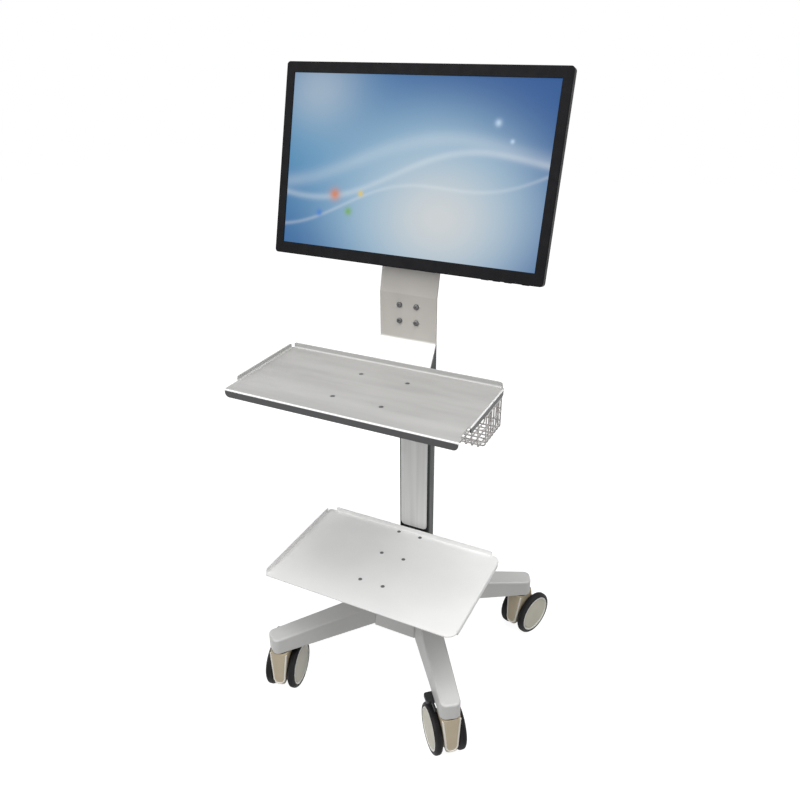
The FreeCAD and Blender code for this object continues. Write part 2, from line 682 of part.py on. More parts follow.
def tyre(side):
    inner_radius = DISC_RADIUS + THREAD_CLEARANCE
    crown = TYRE_CROWN
    inner = WHEEL_INNER_X
    outer = WHEEL_OUTER_X
    profile = [
        (inner, inner_radius),
        (inner, WHEEL_RADIUS - crown),
        (inner + crown / 3, WHEEL_RADIUS - crown / 3),
        (inner + crown, WHEEL_RADIUS),
        (outer - crown, WHEEL_RADIUS),
        (outer - crown / 3, WHEEL_RADIUS - crown / 3),
        (outer, WHEEL_RADIUS - crown),
        (outer, inner_radius),
    ]
    return spun(profile, side)


def brake_pedal():
    top = HOUSING_TOP_Z - PEDAL_PAD_DROP
    bottom = top - PEDAL_PAD_THICKNESS
    half = PEDAL_WIDTH / 2
    pad = rounded_box(-half, half, PEDAL_PAD_START, PEDAL_PAD_END, bottom, top, PEDAL_CORNER_RADIUS)
    pieces = [pad]
    inner = HOUSING_TOP_WIDTH / 2 + PEDAL_ARM_GAP
    for side in (-1, 1):
        x0, x1 = sorted((side * inner, side * (inner + PEDAL_ARM_THICKNESS)))
        arm_front = PEDAL_PIVOT_Y - PEDAL_PIN_RADIUS - 2.0
        pieces.append(box(x0, x1, arm_front, PEDAL_PAD_START + PEDAL_CORNER_RADIUS, bottom, top))
    pin_end = inner + PEDAL_ARM_THICKNESS
    left_end = V(-pin_end, PEDAL_PIVOT_Y, PEDAL_PIVOT_Z)
    right_end = V(pin_end, PEDAL_PIVOT_Y, PEDAL_PIVOT_Z)
    pieces.append(rod(PEDAL_PIN_RADIUS, left_end, right_end))
    return fuse(pieces)


def build_casters():
    for corner, (x, y, heading) in CASTERS.items():
        braked = corner in BRAKED
        pieces = {
            "caster_housing": caster_housing(braked),
            "caster_axle": caster_axle(),
            "left_tyre": tyre(-1),
            "left_wheel": wheel_disc(-1),
            "right_tyre": tyre(1),
            "right_wheel": wheel_disc(1),
        }
        if braked:
            pieces["brake_pedal"] = brake_pedal()
        for name, shape in pieces.items():
            shape.rotate(V(0, 0, 0), V(0, 0, 1), heading)
            shape.translate(V(x, y, 0))
            nodes[corner + "_" + name] = shape


# ---------------------------------------------------------------- column
def pattern_holes(radius, centre_z, y0, y1):
    """Four holes through the column's front wall and what stands on it."""
    holes = []
    for x, z in grid(0.0, SCREW_PITCH_X, centre_z, SCREW_PITCH_Z):
        holes.append(rod(radius, V(x, y0, z), V(x, y1, z)))
    return holes


def foot_screw_holes(radius, y0, y1):
    """Holes of the lower bracket's foot."""
    return pattern_holes(radius, FOOT_SCREWS_Z, y0, y1)


def basket_screw_places():
    z = BASKET_TOP - BASKET_SCREW_DROP
    return [(-SCREW_PITCH_X / 2, z), (SCREW_PITCH_X / 2, z)]


def build_column():
    half = COLUMN_WIDTH / 2
    outer = rounded_box(
        -half, half, COLUMN_FRONT_Y, COLUMN_REAR_Y, BASE_TOP, COLUMN_TOP, COLUMN_CORNER_RADIUS
    )
    inner_half = half - COLUMN_WALL
    inner_radius = COLUMN_CORNER_RADIUS - COLUMN_WALL
    hollow = rounded_box(
        -inner_half, inner_half, INSIDE_FRONT_Y, COLUMN_REAR_Y - COLUMN_WALL,
        BASE_TOP - 1, COLUMN_TOP + 1, inner_radius
    )
    ports = []
    port_holes = []
    for x, y in port_places():
        ports.append(rod(SCREW_PORT_RADIUS, V(x, y, BASE_TOP), V(x, y, COLUMN_TOP)))
        port_holes.append(rod(M6_RADIUS + THREAD_CLEARANCE, V(x, y, BASE_TOP - 1), V(x, y, COLUMN_TOP + 1)))
    channel_half = CHANNEL_WIDTH / 2
    channel = box(
        -channel_half, channel_half, COLUMN_FRONT_Y - 1, CHANNEL_FLOOR_Y, BASE_TOP - 1, COLUMN_TOP + 1
    )
    body = fuse([outer.cut(hollow)] + [port.common(outer) for port in ports])
    clear = M6_RADIUS + HOLE_CLEARANCE
    tools = [channel] + port_holes
    tools += foot_screw_holes(clear, COLUMN_FRONT_Y - 1, INSIDE_FRONT_Y + 1)
    for z in POST_SCREWS_Z:
        tools.append(rod(clear, V(0, POST_REAR_Y - 1, z), V(0, COLUMN_REAR_Y + 1, z)))
    for x, z in basket_screw_places():
        thread = M5_RADIUS + THREAD_CLEARANCE
        tools.append(rod(thread, V(x, COLUMN_REAR_Y - COLUMN_WALL - 1, z), V(x, COLUMN_REAR_Y + 1, z)))
    nodes["column"] = cut(body, tools)

    panel_half = channel_half - PANEL_SIDE_GAP
    panel = box(-panel_half, panel_half, COLUMN_FRONT_Y, CHANNEL_FLOOR_Y, PANEL_BOTTOM, COLUMN_TOP)
    corners = [edge for edge in panel.Edges if edge.BoundBox.YLength > CHANNEL_DEPTH / 2]
    corners = [edge for edge in corners if edge.BoundBox.ZMax < PANEL_BOTTOM + 1]
    nodes["column_front_panel"] = panel.makeFillet(PANEL_END_RADIUS, corners)

    # collar on the column's end, around the post, with two tabs that reach down inside the column
    cap_top = COLUMN_TOP + CAP_THICKNESS
    cap = rounded_box(-half, half, COLUMN_FRONT_Y, COLUMN_REAR_Y, COLUMN_TOP, cap_top, COLUMN_CORNER_RADIUS)
    hole_half = POST_WIDTH / 2 + POST_GAP
    front = POST_FRONT_Y - POST_GAP
    rear = POST_REAR_Y + POST_GAP
    opening = box(-hole_half, hole_half, front, rear, COLUMN_TOP - 1, cap_top + 1)
    port_rows = [y for x, y in port_places()]
    middle_y = (min(port_rows) + max(port_rows)) / 2
    tabs = []
    for side in (-1, 1):
        near = side * (hole_half + CAP_PLUG_GAP)
        x0, x1 = sorted((near, near + side * CAP_TAB_REACH))
        foot = COLUMN_TOP - CAP_PLUG_DEPTH
        tabs.append(box(x0, x1, middle_y - CAP_TAB_HALF, middle_y + CAP_TAB_HALF, foot, COLUMN_TOP))
    nodes["column_cap"] = fuse([cap.cut(opening)] + tabs)

    reach = SCREW_PITCH_Z / 2 + NUT_PLATE_MARGIN
    wide = NUT_PLATE_HALF_WIDTH
    back = INSIDE_FRONT_Y + NUT_PLATE_THICKNESS
    plate = box(-wide, wide, INSIDE_FRONT_Y, back, FOOT_SCREWS_Z - reach, FOOT_SCREWS_Z + reach)
    thread = M6_RADIUS + THREAD_CLEARANCE
    nodes["nut_plate"] = cut(plate, foot_screw_holes(thread, INSIDE_FRONT_Y - 1, back + 1))


def build_post():
    """Solid post in the column's upper end. A block on its front carries the display bracket."""
    half = POST_WIDTH / 2
    plate_back = PLATE_Y + BRACKET_SHEET / 2
    post = box(-half, half, POST_FRONT_Y, POST_REAR_Y, POST_BOTTOM, POST_TOP)
    block_half = BLOCK_WIDTH / 2
    block = box(-block_half, block_half, plate_back, POST_FRONT_Y, BLOCK_BOTTOM, BLOCK_BOTTOM + BLOCK_HEIGHT)
    thread = M6_RADIUS + THREAD_CLEARANCE
    hole_end = plate_back + BRACKET_SCREW_LENGTH - BRACKET_SHEET + SCREW_HOLE_SPARE
    tools = pattern_holes(thread, PLATE_SCREWS_Z, plate_back - 1, hole_end)
    screws = []
    for z in POST_SCREWS_Z:
        seat = V(0, COLUMN_REAR_Y, z)
        tip_y = COLUMN_REAR_Y - POST_SCREW_LENGTH - SCREW_HOLE_SPARE
        tools.append(rod(thread, V(0, POST_REAR_Y + 1, z), V(0, tip_y, z)))
        screws.append(screw(seat, V(0, -1, 0), M6_HEAD_RADIUS, M6_HEAD_HEIGHT, M6_RADIUS, POST_SCREW_LENGTH))
    plate_front = plate_back - BRACKET_SHEET
    for x, z in grid(0.0, SCREW_PITCH_X, PLATE_SCREWS_Z, SCREW_PITCH_Z):
        seat = V(x, plate_front, z)
        length = BRACKET_SCREW_LENGTH
        screws.append(screw(seat, V(0, 1, 0), M6_HEAD_RADIUS, M6_HEAD_HEIGHT, M6_RADIUS, length))
    nodes["neck_post"] = cut(fuse([post, block]), tools)
    nodes["post_screws"] = Part.makeCompound(screws)


# ---------------------------------------------------------------- trays
def flange(side, bounds, start, end, rise, corner_radius):
    """Bent edge of a tray on one side, from start to end along it. rise is down where negative."""
    x0, x1, y0, y1, top = bounds
    middle = top - SHEET / 2
    rooted = SHEET + TRAY_BEND_RADIUS + FLANGE_ROOT
    edge_at = {"left": x0, "right": x1, "front": y0, "back": y1}[side]
    outward = 1 if side in ("right", "back") else -1
    tip = rise if rise > 0 else rise - SHEET
    path = [(-rooted, middle), (-SHEET / 2, middle), (-SHEET / 2, top + tip)]

    if side in ("left", "right"):
        def place(u, v):
            return V(edge_at + outward * u, start, v)
        length = V(0, end - start, 0)
    else:
        def place(u, v):
            return V(start, edge_at + outward * u, v)
        length = V(end - start, 0, 0)
    bent = bent_face(path, SHEET, TRAY_BEND_RADIUS, place).extrude(length)
    tip_corners = []
    for edge in bent.Edges:
        bounds_of_edge = edge.BoundBox
        at_tip = abs(bounds_of_edge.Center.z - (top + tip)) < 0.01
        if at_tip and abs(edge.Length - SHEET) < 0.01:
            tip_corners.append(edge)
    return bent.makeFillet(corner_radius, tip_corners)


def corner_edge(plate, x, y):
    """The upright edge of a plate nearest to x, y."""
    def distance(edge):
        centre = edge.BoundBox.Center
        return centre.distanceToPoint(V(x, y, centre.z))

    return min(upright_edges(plate), key=distance)


def flanged_tray(bounds, radii, flanges):
    """Flat sheet with rounded corners and bent edges.

    radii gives the corner radius by (x, y) corner. flanges are (side, start, end, rise, tip radius).
    """
    x0, x1, y0, y1, top = bounds
    plate = box(x0, x1, y0, y1, top - SHEET, top)
    for (x, y), radius in radii.items():
        plate = plate.makeFillet(radius, [corner_edge(plate, x, y)])
    setback = SHEET + TRAY_BEND_RADIUS
    tools = []
    for side, start, end, rise, tip_radius in flanges:
        low = start - FLANGE_RELIEF
        high = end + FLANGE_RELIEF
        if side == "left":
            tools.append(box(x0 - 1, x0 + setback, low, high, top - SHEET - 1, top + 1))
        if side == "right":
            tools.append(box(x1 - setback, x1 + 1, low, high, top - SHEET - 1, top + 1))
        if side == "front":
            tools.append(box(low, high, y0 - 1, y0 + setback, top - SHEET - 1, top + 1))
        if side == "back":
            tools.append(box(low, high, y1 - setback, y1 + 1, top - SHEET - 1, top + 1))
    pieces = [cut(plate, tools)]
    for side, start, end, rise, tip_radius in flanges:
        pieces.append(flange(side, bounds, start, end, rise, tip_radius))
    return fuse(pieces)


UPPER_BOUNDS = (
    UPPER_TRAY_CENTRE_X - UPPER_TRAY_WIDTH / 2,
    UPPER_TRAY_CENTRE_X + UPPER_TRAY_WIDTH / 2,
    UPPER_TRAY_CENTRE_Y - UPPER_TRAY_DEPTH / 2,
    UPPER_TRAY_CENTRE_Y + UPPER_TRAY_DEPTH / 2,
    UPPER_TRAY_TOP,
)
LOWER_BOUNDS = (
    -LOWER_TRAY_WIDTH / 2,
    LOWER_TRAY_WIDTH / 2,
    LOWER_TRAY_CENTRE_Y - LOWER_TRAY_DEPTH / 2,
    LOWER_TRAY_CENTRE_Y + LOWER_TRAY_DEPTH / 2,
    LOWER_TRAY_TOP,
)


def upper_screw_places():
    return grid(UPPER_SCREW_CENTRE_X, UPPER_SCREW_PITCH_X, UPPER_TRAY_CENTRE_Y, UPPER_SCREW_PITCH_Y)


def lower_screw_places():
    half = LOWER_SCREW_PITCH_X / 2
    return [(x, y) for x in (-half, half) for y in LOWER_SCREW_ROWS_Y]


def tray_screw_set(places, top):
    """Screws through a tray into the bracket under it, their heads sunk in the tray."""
    seat = top - M5_HEAD_HEIGHT - HEAD_SINK
    length = seat - (top - SHEET - BRACKET_SHEET) + TRAY_SCREW_SPARE
    set_of_screws = []
    for x, y in places:
        set_of_screws.append(
            screw(V(x, y, seat), V(0, 0, -1), M5_HEAD_RADIUS, M5_HEAD_HEIGHT, M5_RADIUS, length)
        )
    return Part.makeCompound(set_of_screws)


def down_holes(places, radius, top):
    return [rod(radius, V(x, y, top + 1), V(x, y, top - 10)) for x, y in places]


def sunk_holes(places, top):
    """Clearance holes with a flat recess, so that the screw heads lie below a tray's surface."""
    recess_floor = top - M5_HEAD_HEIGHT - HEAD_SINK
    radius = M5_HEAD_RADIUS + HOLE_CLEARANCE
    recesses = [rod(radius, V(x, y, recess_floor), V(x, y, top + 1)) for x, y in places]
    return down_holes(places, M5_RADIUS + HOLE_CLEARANCE, top) + recesses


def build_trays():
    x0, x1, y0, y1, top = UPPER_BOUNDS
    radii = {(x0, y1): SMALL_RADIUS, (x1, y1): SMALL_RADIUS}
    flanges = [
        ("front", x0, x1, -UPPER_FRONT_FLANGE, FRONT_TIP_RADIUS),
        ("back", x0 + CORNER_FREE, x1 - SMALL_RADIUS, UPPER_BACK_FLANGE, FLANGE_TIP_RADIUS),
        ("left", y0 + LEFT_FREE, y1 - CORNER_FREE, UPPER_SIDE_FLANGE, FLANGE_TIP_RADIUS),
        ("right", y0 + NOTCH_FREE, y1 - SMALL_RADIUS, -UPPER_RIGHT_FLANGE, FLANGE_TIP_RADIUS),
    ]
    tray = flanged_tray(UPPER_BOUNDS, radii, flanges)
    inset = box(
        x1 - SIDE_INSET, x1 + 1, y0 + SIDE_INSET_START, y0 + NOTCH_FREE - FLANGE_RELIEF, top - SHEET - 1, top + 1
    )
    nodes["upper_tray"] = cut(tray, sunk_holes(upper_screw_places(), top) + [inset])
    nodes["upper_tray_screws"] = tray_screw_set(upper_screw_places(), top)

    x0, x1, y0, y1, top = LOWER_BOUNDS
    radii = {
        (x0, y0): SMALL_RADIUS,
        (x1, y0): FRONT_RIGHT_RADIUS,
        (x1, y1): BACK_RIGHT_RADIUS,
        (x0, y1): SMALL_RADIUS,
    }
    flanges = [
        ("back", x0 + 3 * CORNER_FREE, x1 - BACK_RIGHT_RADIUS - 1, LOWER_FLANGE, FLANGE_TIP_RADIUS),
        ("left", y0 + CORNER_FREE, y1 - 2 * CORNER_FREE, LOWER_FLANGE, FLANGE_TIP_RADIUS),
        (
            "right", y0 + FRONT_RIGHT_RADIUS + 1, y1 - BACK_RIGHT_RADIUS - 1,
            -LOWER_RIGHT_FLANGE, FLANGE_TIP_RADIUS,
        ),
    ]
    tray = flanged_tray(LOWER_BOUNDS, radii, flanges)
    nodes["lower_tray"] = cut(tray, sunk_holes(lower_screw_places(), top))
    nodes["lower_tray_screws"] = tray_screw_set(lower_screw_places(), top)


# ---------------------------------------------------------------- brackets
def build_lower_bracket():
    half = LOWER_BRACKET_WIDTH / 2
    under = BRACKET_TOP - BRACKET_SHEET
    foot_front = CHANNEL_FLOOR_Y - BRACKET_SHEET
    top = box(-half, half, LOWER_BRACKET_FRONT_Y, foot_front, under, BRACKET_TOP)
    foot_half = LOWER_BRACKET_FOOT_WIDTH / 2
    foot_bottom = BRACKET_TOP - LOWER_BRACKET_FOOT_HEIGHT
    foot = box(-foot_half, foot_half, foot_front, CHANNEL_FLOOR_Y, foot_bottom, BRACKET_TOP)
    pieces = [top, foot]
    side_bottom = BRACKET_TOP - LOWER_BRACKET_DEPTH
    for side in (-1, 1):
        x0 = side * half
        x1 = side * (half - BRACKET_SHEET)
        outline = [
            V(x0, LOWER_BRACKET_FRONT_Y, BRACKET_TOP - BRACKET_SHEET),
            V(x0, foot_front, BRACKET_TOP - BRACKET_SHEET),
            V(x0, foot_front, side_bottom),
            V(x0, LOWER_BRACKET_FRONT_Y, under - BRACKET_SHEET),
        ]
        wall = Part.Face(Part.makePolygon(outline + outline[:1])).extrude(V(x1 - x0, 0, 0))
        pieces.append(wall)
    bracket = fuse(pieces)
    tools = down_holes(lower_screw_places(), M5_RADIUS + THREAD_CLEARANCE, BRACKET_TOP)
    tools += foot_screw_holes(M6_RADIUS + HOLE_CLEARANCE, foot_front - 1, CHANNEL_FLOOR_Y + 1)
    nodes["lower_bracket"] = cut(bracket, tools)

    bolts = []
    length = BRACKET_SHEET + COLUMN_WALL + NUT_PLATE_THICKNESS
    for x, z in grid(0.0, SCREW_PITCH_X, FOOT_SCREWS_Z, SCREW_PITCH_Z):
        bolts.append(
            screw(V(x, foot_front, z), V(0, 1, 0), M6_HEAD_RADIUS, M6_HEAD_HEIGHT, M6_RADIUS, length)
        )
    nodes["lower_bracket_bolts"] = Part.makeCompound(bolts)


def strip_path():
    """Middle of the folded strip's sheet, as (y, z) points from under the tray to behind the display."""
    tongue = TRAY_UNDERSIDE - BRACKET_SHEET / 2
    lean = DISPLAY_ALONG_STRIP + STRIP_ABOVE_CENTRE
    return [
        (STRIP_FRONT_Y, tongue),
        (STRIP_FOOT_Y, tongue),
        (PLATE_Y, PLATE_BOTTOM),
        (PLATE_Y, PLATE_TOP),
        (PLATE_Y + lean * math.sin(TILT), PLATE_TOP + lean * math.cos(TILT)),
    ]


def display_centre():
    """Middle of the display's front face."""
    forward = BRACKET_SHEET / 2 + DISPLAY_DEPTH
    y = PLATE_Y + DISPLAY_ALONG_STRIP * math.sin(TILT) - forward * math.cos(TILT)
    z = PLATE_TOP + DISPLAY_ALONG_STRIP * math.cos(TILT) + forward * math.sin(TILT)
    return V(DISPLAY_OFFSET_X, y, z)


def put_display(shape):
    """Tilt and place a piece drawn with the display upright and its front face at y = 0."""
    shape.rotate(V(0, 0, 0), V(1, 0, 0), -DISPLAY_TILT)
    shape.translate(display_centre())
    return shape


def vesa_rods(radius, y0, y1):
    return [rod(radius, V(x, y0, z), V(x, y1, z)) for x, z in grid(0.0, VESA_PITCH, 0.0, VESA_PITCH)]


def build_display_bracket():
    half = STRIP_WIDTH / 2

    def place(u, v):
        return V(-half, u, v)
    strip = bent_face(strip_path(), BRACKET_SHEET, STRIP_BEND_RADIUS, place).extrude(V(STRIP_WIDTH, 0, 0))
    plate_front = PLATE_Y - BRACKET_SHEET / 2
    plate_back = PLATE_Y + BRACKET_SHEET / 2
    clear = M6_RADIUS + HOLE_CLEARANCE
    tools = pattern_holes(clear, PLATE_SCREWS_Z, plate_front - 1, plate_back + 1)
    tools += down_holes(upper_screw_places(), M5_RADIUS + THREAD_CLEARANCE, TRAY_UNDERSIDE)
    clear = M4_RADIUS + HOLE_CLEARANCE
    vesa = Part.makeCompound(vesa_rods(clear, DISPLAY_DEPTH - 1, DISPLAY_DEPTH + BRACKET_SHEET + 1))
    tools.append(put_display(vesa))
    nodes["display_bracket"] = cut(strip, tools)


# ---------------------------------------------------------------- wire basket
def spread(start, end, pitch):
    """Evenly spaced places from start to end, about pitch apart."""
    count = max(1, round((end - start) / pitch))
    return [start + (end - start) * index / count for index in range(count + 1)]


def wall_grille(length, height):
    """Upright grille in the XZ plane, from x = 0, its thickness from y = 0, with a heavier top rim."""
    wires = []
    for x in spread(WIRE / 2, length - WIRE / 2, WIRE_PITCH):
        wires.append(box(x - WIRE / 2, x + WIRE / 2, 0, WIRE, 0, height))
    for z in spread(0.0, height - RIM, WIRE_PITCH * 2)[:-1]:
        wires.append(box(0, length, 0, WIRE, z, z + WIRE))
    wires.append(box(0, length, 0, RIM, height - RIM, height))
    return fuse(wires)


def floor_grille(width, depth):
    wires = []
    for x in spread(WIRE / 2, width - WIRE / 2, WIRE_PITCH):
        wires.append(box(x - WIRE / 2, x + WIRE / 2, 0, depth, 0, WIRE))
    for y in spread(WIRE / 2, depth - WIRE / 2, WIRE_PITCH * 2):
        wires.append(box(0, width, y - WIRE / 2, y + WIRE / 2, 0, WIRE))
    return fuse(wires)


def build_basket():
    height = BASKET_TOP - BASKET_BOTTOM
    left = -BASKET_WIDTH / 2
    right = BASKET_WIDTH / 2
    front = wall_grille(BASKET_WIDTH, height)
    front.translate(V(left, BASKET_FRONT_Y, BASKET_BOTTOM))
    back = wall_grille(BASKET_WIDTH, height).mirror(V(0, 0, 0), V(0, 1, 0))
    back.translate(V(left, BASKET_REAR_Y, BASKET_BOTTOM))
    inside_depth = BASKET_REAR_Y - BASKET_FRONT_Y - 2 * RIM
    sides = []
    for x, mirrored in ((right, False), (left, True)):
        side = wall_grille(inside_depth, height)
        side.rotate(V(0, 0, 0), V(0, 0, 1), 90)
        if mirrored:
            side = side.mirror(V(0, 0, 0), V(1, 0, 0))
        side.translate(V(x, BASKET_FRONT_Y + RIM, BASKET_BOTTOM))
        sides.append(side)
    floor_depth = BASKET_REAR_Y - BASKET_FRONT_Y - 2 * WIRE
    floor = floor_grille(BASKET_WIDTH - 2 * WIRE, floor_depth)
    floor.translate(V(left + WIRE, BASKET_FRONT_Y + WIRE, BASKET_BOTTOM))
    nodes["wire_basket"] = Part.makeCompound([front, back, floor] + sides)

    wide = BASKET_PLATE_WIDTH / 2
    plate_top = BASKET_TOP + HOOK_GAP + HOOK_SHEET
    plate_rear = BASKET_FRONT_Y - HOOK_GAP
    plate_front = plate_rear - BASKET_PLATE_THICKNESS
    plate_bottom = plate_top - BASKET_PLATE_HEIGHT
    pieces = [box(-wide, wide, plate_front, plate_rear, plate_bottom, plate_top)]
    for x, z in basket_screw_places():
        rib = BASKET_RIB_WIDTH / 2
        pieces.append(box(x - rib, x + rib, COLUMN_REAR_Y, plate_front, plate_bottom, plate_top))
    for x in (-HOOK_SPACING / 2, HOOK_SPACING / 2):
        x0 = x - HOOK_WIDTH / 2
        x1 = x + HOOK_WIDTH / 2
        hook_rear = BASKET_FRONT_Y + RIM + HOOK_GAP
        over = box(x0, x1, plate_front, hook_rear + HOOK_SHEET, plate_top - HOOK_SHEET, plate_top)
        down = box(x0, x1, hook_rear, hook_rear + HOOK_SHEET, plate_top - HOOK_DROP, plate_top)
        pieces += [over, down]
    bracket = fuse(pieces)
    holes = []
    screws = []
    for x, z in basket_screw_places():
        seat = plate_rear - M5_HEAD_HEIGHT - HEAD_SINK
        recess = rod(M5_HEAD_RADIUS + HOLE_CLEARANCE, V(x, seat, z), V(x, plate_rear + 1, z))
        holes.append(rod(M5_RADIUS + HOLE_CLEARANCE, V(x, COLUMN_REAR_Y - 1, z), V(x, plate_rear + 1, z)))
        holes.append(recess)
        length = seat - COLUMN_REAR_Y + COLUMN_WALL + 2
        screws.append(
            screw(V(x, seat, z), V(0, -1, 0), M5_HEAD_RADIUS, M5_HEAD_HEIGHT, M5_RADIUS, length)
        )
    nodes["basket_bracket"] = cut(bracket, holes)
    nodes["basket_screws"] = Part.makeCompound(screws)


# ---------------------------------------------------------------- display
# Drawn upright, front face at y = 0, centre at x = 0, z = 0, then tilted and placed.
def upright_outline(x0, x1, z0, z1, y, radius):
    """Rectangle with round corners that stands in the plane at y, as a wire."""
    wire = rounded_outline(x0, x1, z0, z1, 0.0, radius)
    wire.rotate(V(0, 0, 0), V(1, 0, 0), 90)
    wire.translate(V(0, y, 0))
    return wire


def slab(x0, x1, z0, z1, y0, y1, radius):
    """Upright slab with round corners."""
    wire = upright_outline(x0, x1, z0, z1, y0, radius)
    return Part.Face(wire).extrude(V(0, y1 - y0, 0))


def key_places():
    power_key_x = DISPLAY_WIDTH / 2 - POWER_KEY_FROM_EDGE
    places = {"power_key": power_key_x}
    for index in range(MENU_KEY_COUNT):
        places["menu_key_%d" % (index + 1)] = power_key_x - MENU_KEY_PITCH * (index + 1.5)
    return places


def rear_cover_solid(inset, front, back):
    """Outer form of the rear cover, or its hollow when inset and back are moved in."""
    half_w = DISPLAY_WIDTH / 2 - inset
    half_h = DISPLAY_HEIGHT / 2 - inset
    shoulder = BEZEL_DEPTH + SHOULDER_DEPTH - inset
    radius = BEZEL_CORNER_RADIUS
    rim = upright_outline(-half_w, half_w, -half_h, half_h, front, radius)
    narrow_w = half_w - SHOULDER_INSET
    narrow_h = half_h - SHOULDER_INSET
    ledge = upright_outline(-narrow_w, narrow_w, -narrow_h, narrow_h, shoulder, radius)
    pan = Part.makeLoft([rim, ledge], True, True)
    base_half = HOUSING_BASE_WIDTH / 2 - inset
    face_half = HOUSING_FACE_WIDTH / 2 - inset
    foot = HOUSING_FOOT + inset
    base = upright_outline(-base_half, base_half, foot, HOUSING_BASE_TOP - inset, front + 1, HOUSING_CORNER)
    face = upright_outline(-face_half, face_half, foot, HOUSING_FACE_TOP - inset, back, HOUSING_CORNER)
    hump = Part.makeLoft([base, face], True, True)
    return fuse([pan, hump])


def board(x0, x1, z0, z1, parts):
    """Circuit board on four standoffs behind the panel's chassis, with blocks for its large components."""
    y0 = CHASSIS_BACK + BOARD_STANDOFF
    y1 = y0 + BOARD_THICKNESS
    pieces = [box(x0, x1, y0, y1, z0, z1)]
    inset = 2 * STANDOFF_RADIUS
    for x in (x0 + inset, x1 - inset):
        for z in (z0 + inset, z1 - inset):
            pieces.append(rod(STANDOFF_RADIUS, V(x, CHASSIS_BACK, z), V(x, y0, z)))
    for px0, px1, pz0, pz1, height in parts:
        pieces.append(box(px0, px1, y1, y1 + height, pz0, pz1))
    return fuse(pieces)


